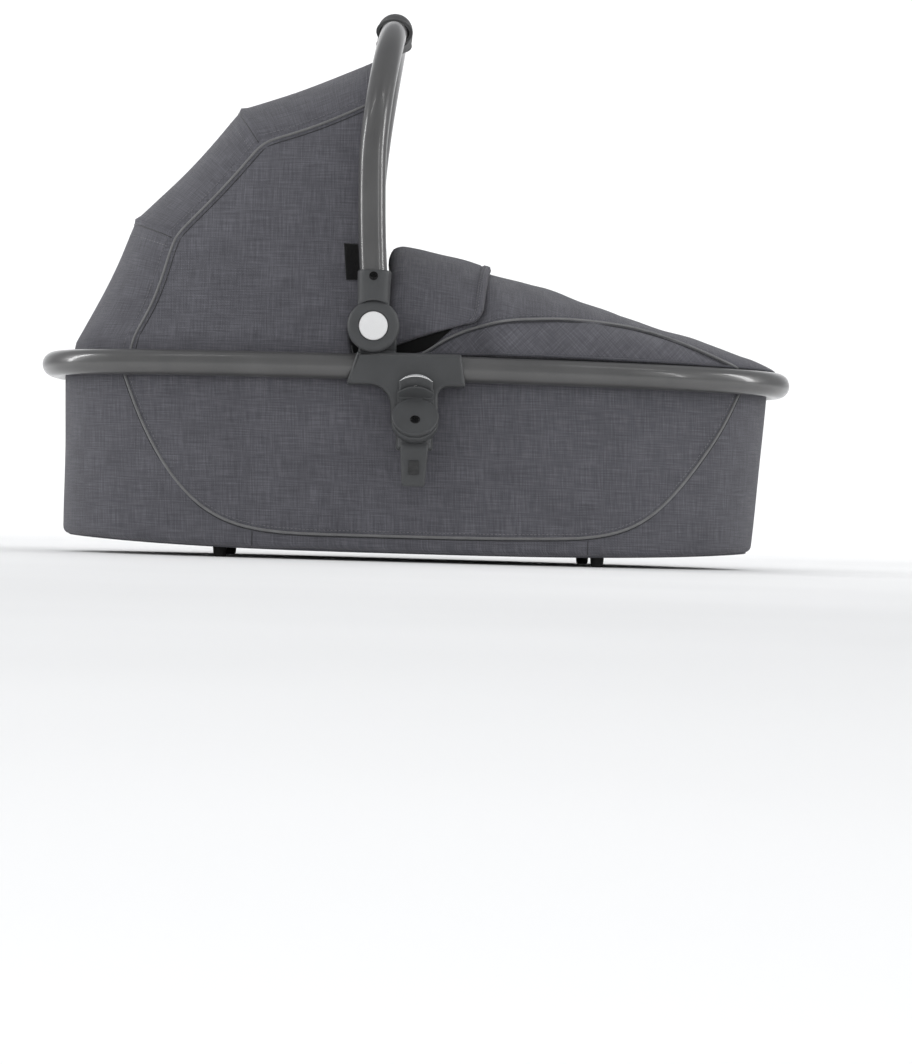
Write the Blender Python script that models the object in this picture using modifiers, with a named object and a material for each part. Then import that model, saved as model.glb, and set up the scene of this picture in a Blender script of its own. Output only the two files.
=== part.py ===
"""Carrycot with a folding hood, for a pushchair frame or for carrying by its handle.

Metres, +Z up. The head end is at -X, the foot end at +X. The left side is at -Y.
The cot stands on its four feet at Z = 0, and the origin is the middle of its outline.
"""

import math

import bmesh
import bpy
from mathutils import Matrix, Vector

# General clearances and cutting
GAP = 0.0003
OVERRUN = 0.003
TINY = 0.00001
CURVE_SAMPLES = 120
EDGE_DEGREES = 40.0
STEEP_EDGE_DEGREES = 60.0
SHADE_DEGREES = 35.0
FLAT_DEGREES = 1.0
RING_STEPS = 36
TUBE_RESOLUTION = 3
TUBE_SIDES = 2 * (TUBE_RESOLUTION + 2)
SIDES = {"l": -1.0, "r": 1.0}

# Rim: two bent tubes that make one egg-shaped ring
RIM_LENGTH = 0.860
RIM_WIDTH = 0.420
RIM_TUBE_DIAMETER = 0.0285
RIM_TUBE_WALL = 0.0015
RIM_HEIGHT = 0.2128
RIM_JOINT_GAP = 0.0012
RIM_TUBE_STEPS = 18
HEAD_SQUARE_SHARE = 2.6
FOOT_SQUARE_SHARE = 2.2

# Fabric body under the rim
WALL_TOP_DEGREES = 37.8
WALL_TOP_CLEARANCE = 0.00093
WALL_THICKNESS = 0.0024
HEAD_LEAN = 0.003
FOOT_LEAN = 0.0125
SIDE_LEAN = 0.008
BASE_HEIGHT = 0.0108
BASE_RISE = 0.0110
BASE_RISE_POWER_SHARE = 3.0
BODY_CORNER = 0.007
BODY_HEM = 0.018
STIFFENER_THICKNESS = 0.0012
STIFFENER_LIFT = 0.046
LINER_THICKNESS = 0.005
LINER_TOP_ABOVE_WALL = 0.003

# Base tray, feet, board and mattress
TRAY_THICKNESS = 0.003
TRAY_UPSTAND = 0.040
TRAY_RING_SHARES = (0.75, 0.25)
FOOT_HEAD_INSET = 0.19975
FOOT_TOE_INSET = 0.21075
FOOT_HEAD_SIDE_INSET = 0.056175
FOOT_TOE_SIDE_INSET = 0.050752
FOOT_TOP_RADIUS = 0.0085
FOOT_BOTTOM_RADIUS = 0.0065
FOOT_EDGE = 0.0012
FOOT_STEM_RADIUS = 0.004
FOOT_STEM_PROUD = 0.0015
FOOT_STEPS = 12
BOARD_THICKNESS = 0.003
BOARD_INSET = 0.004
MATTRESS_THICKNESS = 0.034
MATTRESS_CROWN = 0.010
MATTRESS_CLEARANCE = 0.003
MATTRESS_WAIST = 0.003
MATTRESS_EDGE = 0.009
MATTRESS_CHANNEL_DEPTH = 0.003
MATTRESS_CHANNEL_PITCH = 0.090
MATTRESS_CHANNEL_NARROW_SHARE = 3.0
MATTRESS_CHANNEL_FADE_SHARE = 4.0
MATTRESS_RING_SHARES = (0.80, 0.55, 0.28)

# Side bracket: a sleeve over the rim joint, with an ear for the handle hub
SLEEVE_HEAD_X = -0.0765
SLEEVE_FOOT_X = 0.0475
SLEEVE_SLANT = 0.003
SLEEVE_TOP_WALL = 0.0012
SLEEVE_BOTTOM_WALL = 0.0047
SLEEVE_INNER_WALL = 0.0024
SLEEVE_OUTER_WALL = 0.0046
SLEEVE_BEVEL = 0.0025
STEM_HEAD_X = -0.0300
STEM_FOOT_X = 0.0215
STEM_DEPTH = 0.0440
STEM_FILLET = 0.0150
STEM_FILLET_DEGREES = 70.0
STEM_FILLET_STEPS = 4
BODY_SLOT_HEIGHT = 0.0008
BODY_SLOT_DEPTH = 0.0010
EAR_INSET = 0.0007
EAR_THICKNESS = 0.0165
NECK_WIDTH = 0.0430
NECK_SHIFT = 0.0045

# Handle hub and its press button
HUB_X = -0.052
HUB_SLEEVE_CLEARANCE = 0.00055
HUB_RADIUS = 0.0272
HUB_THICKNESS = 0.0256
HUB_FACE_RUN = 0.0006
HUB_WEB_START = 0.0090
HUB_WEB = 0.0070
HUB_BEVEL = 0.0025
HUB_STEPS = 24
HUB_INNER_RADIUS = 0.0215
BUTTON_RADIUS = 0.01575
BUTTON_CLEARANCE = 0.00035
BUTTON_PROUD = 0.002
BUTTON_ROOF = 0.0025
BUTTON_SKIRT = 0.0035
BUTTON_BEVEL = 0.0008
BUTTON_STEPS = 20
BOLT_RADIUS = 0.004
BOLT_HEAD_RADIUS = 0.0070
BOLT_HEAD = 0.003
BOLT_CLEARANCE = 0.0003
BOLT_STEPS = 12
NUT_RADIUS = 0.0075
NUT_THICKNESS = 0.004
NUT_SIDES = 6
DETENT_RADIUS = 0.0200
DETENT_BORE = 0.0120
DETENT_THICKNESS = 0.004
DETENT_NOTCHES = 8
DETENT_NOTCH_RADIUS = 0.0016
DETENT_NOTCH_STEPS = 6
SPRING_WIRE = 0.0012
SPRING_STEPS = 8
SPRING_RESOLUTION = 1
BUTTON_SPRING_RADIUS = 0.0098
BUTTON_SPRING_TURNS = 2.5
RELEASE_SPRING_RADIUS = 0.0024
RELEASE_SPRING_WIRE = 0.0008
RELEASE_SPRING_TURNS = 3.5

# Handle tube, collars and grip
HANDLE_SEAT = 0.0111
HANDLE_TUBE_DIAMETER = 0.030
HANDLE_TUBE_WALL = 0.0015
HANDLE_RISE = 0.3497
HANDLE_LEG_RISE = 0.1437
HANDLE_LEG_START = 0.0325
HANDLE_LEG_STEPS = 3
HANDLE_ARCH_STEPS = 7
HANDLE_BACK = 0.006
HANDLE_FOOT_BOW = 0.0065
HANDLE_TOP_BOW = 0.0210
HANDLE_BOW_RISE = 0.1837
HANDLE_BOW_POWER_SHARE = 1.5
COLLAR_SIDE_WALL = 0.003
COLLAR_WALL = 0.004
COLLAR_TOP = 0.0607
COLLAR_CLEARANCE = 0.0020
COLLAR_BEVEL = 0.003
GRIP_WALL = 0.005
GRIP_HALF_LENGTH = 0.065
GRIP_STEPS = 6
GRIP_EDGE = 0.003
GRIP_BORE_ARCH_STEPS = 2
SCREW_HEAD_RADIUS = 0.005
SCREW_HEAD = 0.0020
SCREW_DOME_SHARES = ((0.60, 0.85), (0.95, 0.40))
SCREW_SHANK_RADIUS = 0.002
SCREW_STEPS = 12
COLLAR_SCREW_HEIGHT = 0.0538
COLLAR_SCREW_SHANK = 0.0045

# Side adapter that plugs into a pushchair frame
ADAPTER_X = -0.0043
ADAPTER_HALF_WIDTH = 0.0215
ADAPTER_PLATE = 0.004
ADAPTER_TOP_DROP = 0.0068
ADAPTER_NECK_DROP = 0.0090
ADAPTER_NECK_HEIGHT = 0.0280
ADAPTER_NECK_DEPTH = 0.0260
ADAPTER_BEVEL = 0.0015
DRUM_RADIUS = 0.0255
DRUM_DROP = 0.0470
DRUM_REACH = 0.0195
DRUM_TILT_DEGREES = 37.0
DRUM_CAP = 0.007
DRUM_CORE = 0.0080
DRUM_CORE_INSET = 0.0012
DRUM_STEPS = 24
DRUM_BEVEL = 0.0015
TONGUE_LENGTH = 0.0390
TONGUE_TOP_HALF_WIDTH = 0.0150
TONGUE_BOTTOM_HALF_WIDTH = 0.0125
TONGUE_TOP_HALF_DEPTH = 0.0085
TONGUE_BOTTOM_HALF_DEPTH = 0.0070
TONGUE_REACH = 0.0130
LATCH_HALF_WIDTH = 0.0055
LATCH_RISE = 0.0130
LATCH_HEIGHT = 0.0150
LATCH_DEPTH = 0.0080
LATCH_PROUD = 0.0035
LATCH_TRAVEL = 0.004
LATCH_CLEARANCE = 0.0004
RELEASE_HALF_WIDTH = 0.0183
RELEASE_HEIGHT = 0.0228
RELEASE_TOP_DROP = 0.0030
RELEASE_DOME = 0.0080
RELEASE_DEPTH = 0.0108
RELEASE_STEP = 0.0016
RELEASE_STEP_DROP_SHARE = 0.75
RELEASE_STEP_REACH_SHARE = 0.90
RELEASE_DOME_STEPS = 10
RELEASE_POCKET_HALF_WIDTH = 0.0045
RELEASE_POCKET_DEPTH = 0.0072
RELEASE_FLOOR = 0.0023
RELEASE_ROOF = 0.0036
LUG_HALF_WIDTH = 0.0038
LUG_DEPTH = 0.0066
LUG_HEIGHT = 0.0030
TRIM_RADIUS = 0.0014
TRIM_STEPS = 9
TRIM_RESOLUTION = 2
TRIM_REACH_SHARE = 0.96

# Hood: fabric over two ribs that swing about the handle hub
HOOD_SLEEVE_CLEARANCE = 0.0008
HOOD_THICKNESS = 0.0025
HOOD_HANDLE_CLEARANCE = 0.0322
HOOD_FRONT_RIB_DROP = 0.0140
HOOD_REAR_RIB_DROP = 0.0125
HOOD_REAR_CLEARANCE = 0.0023
HOOD_FRONT_DEGREES = 0.0
HOOD_FRONT_RIB_DEGREES = 32.0
HOOD_REAR_RIB_DEGREES = 66.0
HOOD_REAR_DEGREES = 93.0
HOOD_SQUARE_SHARE = 3.2
HOOD_SAG = 0.0030
HOOD_PIVOT_CLEARANCE = 0.0007
HOOD_FRONT_CORNER = 0.0185
HOOD_BAY_STEPS = 3
HOOD_ACROSS_STEPS = 20
RIB_DIAMETER = 0.006
RIB_EYE_RADIUS = 0.009
RIB_EYE_THICKNESS = 0.0056
RIB_ROOT_SHARE = 0.80
RIB_STRAIGHT_SHARE = 1.60
RIB_TUBE_RESOLUTION = 1
TAB_WIDTH = 0.0155
TAB_HEIGHT = 0.0400
TAB_THICKNESS = 0.0012
TAB_FRONT = 0.0180
TAB_LIFT = 0.0520
TAB_CLEARANCE = 0.0006

# Apron over the foot half, with its wind flap folded back
APRON_THICKNESS = 0.0025
APRON_RIM_INSET = 0.0050
APRON_BRACKET_CLEARANCE = 0.01055
APRON_RIM_START_X = 0.0900
APRON_BRACKET_END_X = 0.0580
APRON_HEAD_X = -0.0330
APRON_HEIGHT = 0.1240
APRON_FOOT_ROWS = 8
APRON_ROW_PACKING_SHARE = 0.95
APRON_FOOT_REACH_SHARE = 0.995
APRON_ACROSS_STEPS = 20
APRON_SQUARE_SHARE = 2.5
APRON_CREST_SHARES = (
    (0.00, 1.000), (0.10, 0.960), (0.20, 0.895), (0.26, 0.835), (0.345, 0.760),
    (0.405, 0.706), (0.51, 0.570), (0.617, 0.443), (0.80, 0.253), (0.92, 0.110), (1.00, 0.012),
)
FLAP_THICKNESS = 0.0025
FLAP_LIFT = 0.0065
FLAP_FRONT_X = 0.0620
FLAP_SLANT = 0.0160
FLAP_HEAD_SIDE_DROP_SHARE = 0.93
FLAP_FOOT_SIDE_DROP_SHARE = 0.64
FLAP_ROWS = 4
FLAP_ACROSS_STEPS = 20

# Sizes that follow from the ones above
RIM_RADIUS = RIM_TUBE_DIAMETER / 2
RIM_HALF_LENGTH = RIM_LENGTH / 2 - RIM_RADIUS
RIM_HALF_WIDTH = RIM_WIDTH / 2 - RIM_RADIUS
WALL_TOP_AWAY = RIM_RADIUS + WALL_TOP_CLEARANCE
WALL_TOP_INSET = WALL_TOP_AWAY * math.cos(math.radians(WALL_TOP_DEGREES))
WALL_TOP = RIM_HEIGHT - WALL_TOP_AWAY * math.sin(math.radians(WALL_TOP_DEGREES))
SLEEVE_INSET = RIM_RADIUS + GAP + SLEEVE_INNER_WALL
SLEEVE_INNER = RIM_HALF_WIDTH - SLEEVE_INSET
SLEEVE_OUTER = RIM_HALF_WIDTH + RIM_RADIUS + GAP + SLEEVE_OUTER_WALL
SLEEVE_TOP = RIM_HEIGHT + RIM_RADIUS + GAP + SLEEVE_TOP_WALL
SLEEVE_BOTTOM = RIM_HEIGHT - RIM_RADIUS - GAP - SLEEVE_BOTTOM_WALL
EAR_OUTER = SLEEVE_INNER + EAR_THICKNESS
EAR_RADIUS = HUB_RADIUS - EAR_INSET
HUB_HEIGHT = SLEEVE_TOP + HUB_SLEEVE_CLEARANCE + HUB_RADIUS
HUB_INNER = EAR_OUTER + HUB_FACE_RUN
HUB_OUTER = HUB_INNER + HUB_THICKNESS
HUB_WEB_IN = HUB_INNER + HUB_WEB_START
HUB_WEB_OUT = HUB_WEB_IN + HUB_WEB
ADAPTER_INNER = SLEEVE_OUTER + GAP
ADAPTER_FACE = ADAPTER_INNER + ADAPTER_PLATE
ADAPTER_TOP = RIM_HEIGHT - ADAPTER_TOP_DROP
DRUM_HEIGHT = ADAPTER_TOP - DRUM_DROP
ADAPTER_NECK_TOP = DRUM_HEIGHT - ADAPTER_NECK_DROP
ADAPTER_NECK_BOTTOM = ADAPTER_NECK_TOP - ADAPTER_NECK_HEIGHT
TONGUE_BOTTOM = ADAPTER_NECK_BOTTOM - TONGUE_LENGTH
LATCH_LOW = TONGUE_BOTTOM + LATCH_RISE
LATCH_HIGH = LATCH_LOW + LATCH_HEIGHT
RELEASE_TOP = ADAPTER_TOP - RELEASE_TOP_DROP
RELEASE_BOTTOM = RELEASE_TOP - RELEASE_HEIGHT
DRUM_TILT = math.radians(DRUM_TILT_DEGREES)
HOOD_INSET = SLEEVE_INSET + HOOD_SLEEVE_CLEARANCE
HOOD_FRONT_RADIUS = HANDLE_RISE - HOOD_HANDLE_CLEARANCE
HOOD_FRONT_RIB_RADIUS = HOOD_FRONT_RADIUS - HOOD_FRONT_RIB_DROP
HOOD_REAR_RIB_RADIUS = HOOD_FRONT_RADIUS - HOOD_REAR_RIB_DROP
HOOD_HALF_WIDTH = RIM_HALF_WIDTH - HOOD_INSET
APRON_BRACKET_INSET = SLEEVE_INSET + APRON_BRACKET_CLEARANCE
HOOD_PIVOT_HOLE = EAR_RADIUS + HOOD_PIVOT_CLEARANCE
HOOD_REAR_RADIUS = RIM_HALF_LENGTH - HOOD_INSET + HUB_X - HOOD_REAR_CLEARANCE
FOOT_HEAD_X = FOOT_HEAD_INSET - RIM_HALF_LENGTH
FOOT_TOE_X = RIM_HALF_LENGTH - FOOT_TOE_INSET
TRAY_INSET = WALL_THICKNESS + 2 * GAP
LINER_INSET = WALL_TOP_INSET + TRAY_INSET + TRAY_THICKNESS + GAP
LINER_TOP = WALL_TOP + LINER_TOP_ABOVE_WALL
TRAY_FLOOR = TRAY_INSET + TRAY_THICKNESS
HANDLE_HALF_SPAN = HUB_INNER + HANDLE_SEAT
HANDLE_TOP = HUB_HEIGHT + HANDLE_RISE
HANDLE_SPRING_HEIGHT = HUB_HEIGHT + HANDLE_LEG_RISE
HANDLE_BOW_HEIGHT = HUB_HEIGHT + HANDLE_BOW_RISE
HANDLE_BACK_X = HUB_X - HANDLE_BACK
HANDLE_TUBE_RADIUS = HANDLE_TUBE_DIAMETER / 2
COLLAR_HALF_WIDTH = HANDLE_TUBE_RADIUS + COLLAR_SIDE_WALL
COLLAR_INNER = HANDLE_HALF_SPAN - HANDLE_TUBE_RADIUS - COLLAR_WALL
COLLAR_OUTER = HANDLE_HALF_SPAN + HANDLE_TUBE_RADIUS + COLLAR_WALL
HOOD_BOTTOM = LINER_TOP + GAP
FRONT_RIB_OUTER = HOOD_HALF_WIDTH - HOOD_THICKNESS - GAP
REAR_RIB_OUTER = FRONT_RIB_OUTER - RIB_EYE_THICKNESS - GAP
BOLT_INNER = REAR_RIB_OUTER - RIB_EYE_THICKNESS - GAP - NUT_THICKNESS - GAP
BASE_HALF_LENGTH = RIM_HALF_LENGTH - WALL_TOP_INSET
HUB_AXIS = (HUB_X, HUB_HEIGHT)

MATERIALS = {
    "rim_tube": ((0.085, 0.085, 0.090), 0.22, 0.85),
    "plastic": ((0.075, 0.075, 0.078), 0.55, 0.0),
    "plastic_light": ((0.75, 0.75, 0.76), 0.35, 0.0),
    "trim": ((0.80, 0.80, 0.82), 0.18, 1.0),
    "fabric": ((0.105, 0.105, 0.125), 0.92, 0.0),
    "lining": ((0.045, 0.045, 0.050), 0.90, 0.0),
    "mattress": ((0.62, 0.61, 0.58), 0.90, 0.0),
    "board": ((0.33, 0.22, 0.13), 0.80, 0.0),
    "rubber": ((0.018, 0.018, 0.018), 0.75, 0.0),
    "steel": ((0.55, 0.55, 0.56), 0.30, 1.0),
    "black_steel": ((0.020, 0.020, 0.022), 0.35, 0.8),
    "label": ((0.012, 0.012, 0.013), 0.80, 0.0),
}


def clear_scene():
    """Remove every object of the open scene."""
    for old in list(bpy.data.objects):
        bpy.data.objects.remove(old, do_unlink=True)


def new_collection(name):
    """A collection linked to the scene."""
    made = bpy.data.collections.new(name)
    bpy.context.scene.collection.children.link(made)
    return made


def material(key):
    """The Principled material of a finish, made once for each sub-part."""
    colour, roughness, metallic = MATERIALS[key]
    made = bpy.data.materials.new(key)
    made.use_nodes = True
    shader = made.node_tree.nodes["Principled BSDF"]
    shader.inputs["Base Color"].default_value = (*colour, 1.0)
    shader.inputs["Roughness"].default_value = roughness
    shader.inputs["Metallic"].default_value = metallic
    made.diffuse_color = (*colour, 1.0)
    return made


def add(name, mesh, key=None, location=(0, 0, 0)):
    """A named object from a mesh: a part with its material, or a cutter without one."""
    made = bpy.data.objects.new(name, mesh)
    made.location = location
    if key is None:
        cutters.objects.link(made)
        made.hide_render = True
        made.display_type = "WIRE"
    else:
        parts.objects.link(made)
        mesh.materials.clear()
        mesh.materials.append(material(key))
    return made


def from_bmesh(name, shape, key=None):
    """An object from a bmesh that is already in world places."""
    mesh = bpy.data.meshes.new(name)
    bmesh.ops.recalc_face_normals(shape, faces=shape.faces)
    shape.to_mesh(mesh)
    shape.free()
    return add(name, mesh, key)


def box(name, low, high, key=None):
    """A box between two corners given in any order."""
    shape = bmesh.new()
    bmesh.ops.create_cube(shape, size=1.0)
    low, high = Vector(low), Vector(high)
    span = Vector([abs(a - b) for a, b in zip(low, high)])
    bmesh.ops.scale(shape, vec=span, verts=shape.verts)
    bmesh.ops.translate(shape, vec=(low + high) / 2, verts=shape.verts)
    return from_bmesh(name, shape, key)


def rod(name, start, end, radius, steps, key=None):
    """A round bar from one point to another."""
    start, end = Vector(start), Vector(end)
    shape = bmesh.new()
    bmesh.ops.create_cone(
        shape, cap_ends=True, segments=steps, radius1=radius, radius2=radius,
        depth=(end - start).length,
    )
    turn = Vector((0, 0, 1)).rotation_difference(end - start).to_matrix().to_4x4()
    place = Matrix.Translation((start + end) / 2) @ turn
    bmesh.ops.transform(shape, matrix=place, verts=shape.verts)
    return from_bmesh(name, shape, key)


def cross_rod(name, side, inner, outer, radius, steps, key=None, at=HUB_AXIS):
    """A round bar along Y, between two distances from the middle plane."""
    x, z = at
    return rod(name, (x, side * inner, z), (x, side * outer, z), radius, steps, key)


def turned(name, profile, steps, key):
    """A solid turned about its own Z axis from a profile of (radius, height) points, top first."""
    shape = bmesh.new()
    points = [shape.verts.new((radius, 0, height)) for radius, height in profile]
    for first, second in zip(points, points[1:]):
        shape.edges.new((first, second))
    mesh = bpy.data.meshes.new(name)
    shape.to_mesh(mesh)
    shape.free()
    made = add(name, mesh, key)
    spin = made.modifiers.new("turn", "SCREW")
    spin.axis = "Z"
    spin.steps = steps
    spin.render_steps = steps
    spin.use_merge_vertices = True
    spin.merge_threshold = TINY
    return made


def aim(made, place, direction):
    """Put a turned object at a place with its Z axis along a direction."""
    made.location = place
    made.rotation_mode = "QUATERNION"
    made.rotation_quaternion = Vector((0, 0, 1)).rotation_difference(Vector(direction))


def polyline(name, points, radius, resolution, caps, cyclic=False):
    """A curve object along points, with a round section."""
    data = bpy.data.curves.new(name, "CURVE")
    data.dimensions = "3D"
    data.bevel_depth = radius
    data.bevel_resolution = resolution
    data.use_fill_caps = caps
    data.twist_mode = "MINIMUM"
    spline = data.splines.new("POLY")
    spline.use_cyclic_u = cyclic
    spline.points.add(len(points) - 1)
    for target, point in zip(spline.points, points):
        target.co = (*point, 1)
    return bpy.data.objects.new(name, data)


def curve_mesh(made, flat=False):
    """The mesh of a curve object in world places, with its caps welded."""
    bpy.context.scene.collection.objects.link(made)
    graph = bpy.context.evaluated_depsgraph_get()
    mesh = bpy.data.meshes.new_from_object(made.evaluated_get(graph))
    mesh.transform(made.matrix_world)
    shape = bmesh.new()
    shape.from_mesh(mesh)
    bmesh.ops.remove_doubles(shape, verts=shape.verts, dist=TINY)
    if flat:
        bmesh.ops.dissolve_limit(shape, angle_limit=math.radians(FLAT_DEGREES),
                                 verts=shape.verts, edges=shape.edges)
    bmesh.ops.recalc_face_normals(shape, faces=shape.faces)
    shape.to_mesh(mesh)
    shape.free()
    bpy.data.objects.remove(made, do_unlink=True)
    return mesh


def bar(name, points, radius, resolution, key=None):
    """A solid round bar along points."""
    return add(name, curve_mesh(polyline(name, points, radius, resolution, True)), key)


def tube(name, points, radius, wall, resolution, key):
    """A hollow round tube along points, open at both ends."""
    made = add(name, curve_mesh(polyline(name, points, radius, resolution, False)), key)
    thicken(made, wall)
    return made


def plate(name, outline, side, inner, outer, key=None):
    """A flat outline in X and Z, as thick as the space between two distances from the middle."""
    data = bpy.data.curves.new(name, "CURVE")
    data.dimensions = "2D"
    data.fill_mode = "BOTH"
    data.extrude = abs(outer - inner) / 2
    spline = data.splines.new("POLY")
    spline.use_cyclic_u = True
    spline.points.add(len(outline) - 1)
    for target, (x, z) in zip(spline.points, outline):
        target.co = (x, z, 0, 1)
    made = bpy.data.objects.new(name, data)
    made.matrix_world = Matrix.Translation((0, side * (inner + outer) / 2, 0)) @ Matrix.Rotation(
        math.pi / 2, 4, "X")
    return add(name, curve_mesh(made, flat=True), key)


def thicken(made, wall, outward=False):
    """Give an open surface its wall, behind its faces or in front of them."""
    solid = made.modifiers.new("wall", "SOLIDIFY")
    solid.thickness = wall
    solid.offset = 1.0 if outward else -1.0
    solid.use_even_offset = True


def soften(made, width, segments=2, degrees=EDGE_DEGREES):
    """Round the edges that are sharper than an angle."""
    bevel = made.modifiers.new("edges", "BEVEL")
    bevel.width = width
    bevel.segments = segments
    bevel.limit_method = "ANGLE"
    bevel.angle_limit = math.radians(degrees)
    bevel.loop_slide = False


def combine(made, other, operation):
    """Add or take away another object's shape."""
    step = made.modifiers.new(other.name, "BOOLEAN")
    step.operation = operation
    step.object = other
    step.solver = "EXACT"


def cut(made, *others):
    """Take away the shapes of cutters."""
    for other in others:
        combine(made, other, "DIFFERENCE")


def join(made, *others):
    """Fuse the shapes of helper objects into one body."""
    for other in others:
        combine(made, other, "UNION")


def loft(name, rows, key=None, ring=True, cap_first=False, cap_last=False):
    """A surface through rows of points, closed round each row if ring is set."""
    shape = bmesh.new()
    grid = [[shape.verts.new(point) for point in row] for row in rows]
    count = len(grid[0])
    last = count if ring else count - 1
    for upper, lower in zip(grid, grid[1:]):
        for i in range(last):
            j = (i + 1) % count
            shape.faces.new((lower[i], lower[j], upper[j], upper[i]))
    if cap_first:
        shape.faces.new(grid[0])
    if cap_last:
        shape.faces.new(list(reversed(grid[-1])))
    mesh = bpy.data.meshes.new(name)
    shape.to_mesh(mesh)
    shape.free()
    return add(name, mesh, key)


def smooth(made):
    """Shade the faces of a soft or round piece smooth, with its sharp edges kept."""
    made.data.shade_smooth()
    made.data.set_sharp_from_angle(angle=math.radians(SHADE_DEGREES))


def plan_point(turn, head, foot, side):
    """A point of the egg-shaped plan. A turn of 0 is the foot tip and half a turn the head tip."""
    c, s = math.cos(turn), math.sin(turn)
    power = 2 / (FOOT_SQUARE_SHARE if c > 0 else HEAD_SQUARE_SHARE)
    x = math.copysign(abs(c) ** power, c) * (foot if c > 0 else head)
    y = math.copysign(abs(s) ** power, s) * side
    return x, y


def plan_half_width(x, head, foot, side):
    """Half the plan's width at a place along X."""
    reach = foot if x > 0 else head
    square = FOOT_SQUARE_SHARE if x > 0 else HEAD_SQUARE_SHARE
    return side * max(0.0, 1 - abs(x / reach) ** square) ** (1 / square)


def rim_half_width(x, inset=0.0):
    """Half the width of the rim's centre line, drawn in by an inset."""
    reach = RIM_HALF_LENGTH - inset
    return plan_half_width(x, reach, reach, RIM_HALF_WIDTH - inset)


def foot_places():
    """Each foot's name and place in plan, at an inset from the rim's centre line beside it."""
    places = {}
    for end_name, x, inset in (("head", FOOT_HEAD_X, FOOT_HEAD_SIDE_INSET),
                               ("toe", FOOT_TOE_X, FOOT_TOE_SIDE_INSET)):
        for side_name, side in SIDES.items():
            places[f"foot_{end_name}_{side_name}"] = (x, side * (rim_half_width(x) - inset))
    return places


def turn_at(x, head, foot):
    """The turn at which the plan's far side has this X."""
    reach = foot if x > 0 else head
    square = FOOT_SQUARE_SHARE if x > 0 else HEAD_SQUARE_SHARE
    return math.acos(math.copysign(abs(x / reach) ** (square / 2), x))


def base_height(x):
    """Height of the body's lower edge, which lifts towards both ends."""
    return BASE_HEIGHT + BASE_RISE * abs(x / BASE_HALF_LENGTH) ** BASE_RISE_POWER_SHARE


def plan_ring(inset, lean_share):
    """Places round the body's plan, drawn in by an inset and by a share of the wall's lean."""
    deep = WALL_TOP_INSET + inset
    head = RIM_HALF_LENGTH - deep - HEAD_LEAN * lean_share
    foot = RIM_HALF_LENGTH - deep - FOOT_LEAN * lean_share
    side = RIM_HALF_WIDTH - deep - SIDE_LEAN * lean_share
    turns = [2 * math.pi * step / RING_STEPS for step in range(RING_STEPS)]
    return [plan_point(turn, head, foot, side) for turn in turns]


def wall_ring(drop_share, inset):
    """A ring on the leaning wall, a share of the way down to its rounded lower corner."""
    ring = []
    for x, y in plan_ring(inset, drop_share):
        corner = base_height(x) + BODY_CORNER
        ring.append((x, y, WALL_TOP * (1 - drop_share) + corner * drop_share))
    return ring


def wall_share(rise):
    """How far down the wall a ring lies that is this far above the body's lower edge."""
    return 1 - (rise - BODY_CORNER) / (WALL_TOP - BASE_HEIGHT - BODY_CORNER)


def floor_ring(inset, rise):
    """A ring along the body's lower edge, drawn in and raised."""
    return [(x, y, base_height(x) + rise) for x, y in plan_ring(inset, 1.0)]


def corner_rings(inset):
    """Rings round the body's lower corner, for a shell that lies inside its surface."""
    radius = BODY_CORNER - inset
    rings = []
    for angle in (0.0, math.pi / 4, math.pi / 2):
        rings.append(floor_ring(BODY_CORNER - radius * math.cos(angle),
                                BODY_CORNER - radius * math.sin(angle)))
    return rings


def arc(centre, radius, start, end, steps):
    """Points of an arc in a plane, with its angles in degrees."""
    points = []
    for step in range(steps + 1):
        angle = math.radians(start + (end - start) * step / steps)
        points.append((centre[0] + radius * math.cos(angle), centre[1] + radius * math.sin(angle)))
    return points


def helix(name, start, direction, radius, length, turns, wire, key):
    """An open compression spring from a point along an axis."""
    axis = Vector(direction).normalized()
    across = axis.orthogonal().normalized()
    third = axis.cross(across)
    count = int(turns * SPRING_STEPS)
    points = []
    for step in range(count + 1):
        angle = 2 * math.pi * step / SPRING_STEPS
        around = across * math.cos(angle) + third * math.sin(angle)
        along = wire + (length - 2 * wire) * step / count
        points.append(tuple(Vector(start) + axis * along + around * radius))
    return bar(name, points, wire / 2, SPRING_RESOLUTION, key)


def resample(points, count):
    """The same path with evenly spaced points."""
    points = [Vector(p) for p in points]
    lengths = [0.0]
    for first, second in zip(points, points[1:]):
        lengths.append(lengths[-1] + (second - first).length)
    result = []
    k = 0
    for step in range(count):
        want = lengths[-1] * step / (count - 1)
        while k < len(points) - 2 and lengths[k + 1] < want:
            k += 1
        share = (want - lengths[k]) / (lengths[k + 1] - lengths[k])
        result.append(points[k].lerp(points[k + 1], share))
    return result


def rim_path(x_start, head_end):
    """The rim's centre line round one end, from one side to the other."""
    reach = RIM_HALF_LENGTH
    first = turn_at(x_start, reach, reach)
    last = 2 * math.pi - first if head_end else -first
    points = []
    for step in range(RIM_TUBE_STEPS + 1):
        turn = first + (last - first) * step / RIM_TUBE_STEPS
        points.append((*plan_point(turn, reach, reach, RIM_HALF_WIDTH), RIM_HEIGHT))
    return points


def rim_paths():
    """Centre lines of the head tube and the foot tube, which meet inside the side brackets."""
    joint = (SLEEVE_HEAD_X + SLEEVE_FOOT_X) / 2
    return rim_path(joint - RIM_JOINT_GAP / 2, True), rim_path(joint + RIM_JOINT_GAP / 2, False)


def make_rim():
    """Two bent tubes whose ends meet inside the side brackets."""
    for name, path in zip(("rim_tube_head", "rim_tube_foot"), rim_paths()):
        smooth(tube(name, path, RIM_RADIUS, RIM_TUBE_WALL, TUBE_RESOLUTION, "rim_tube"))


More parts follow.
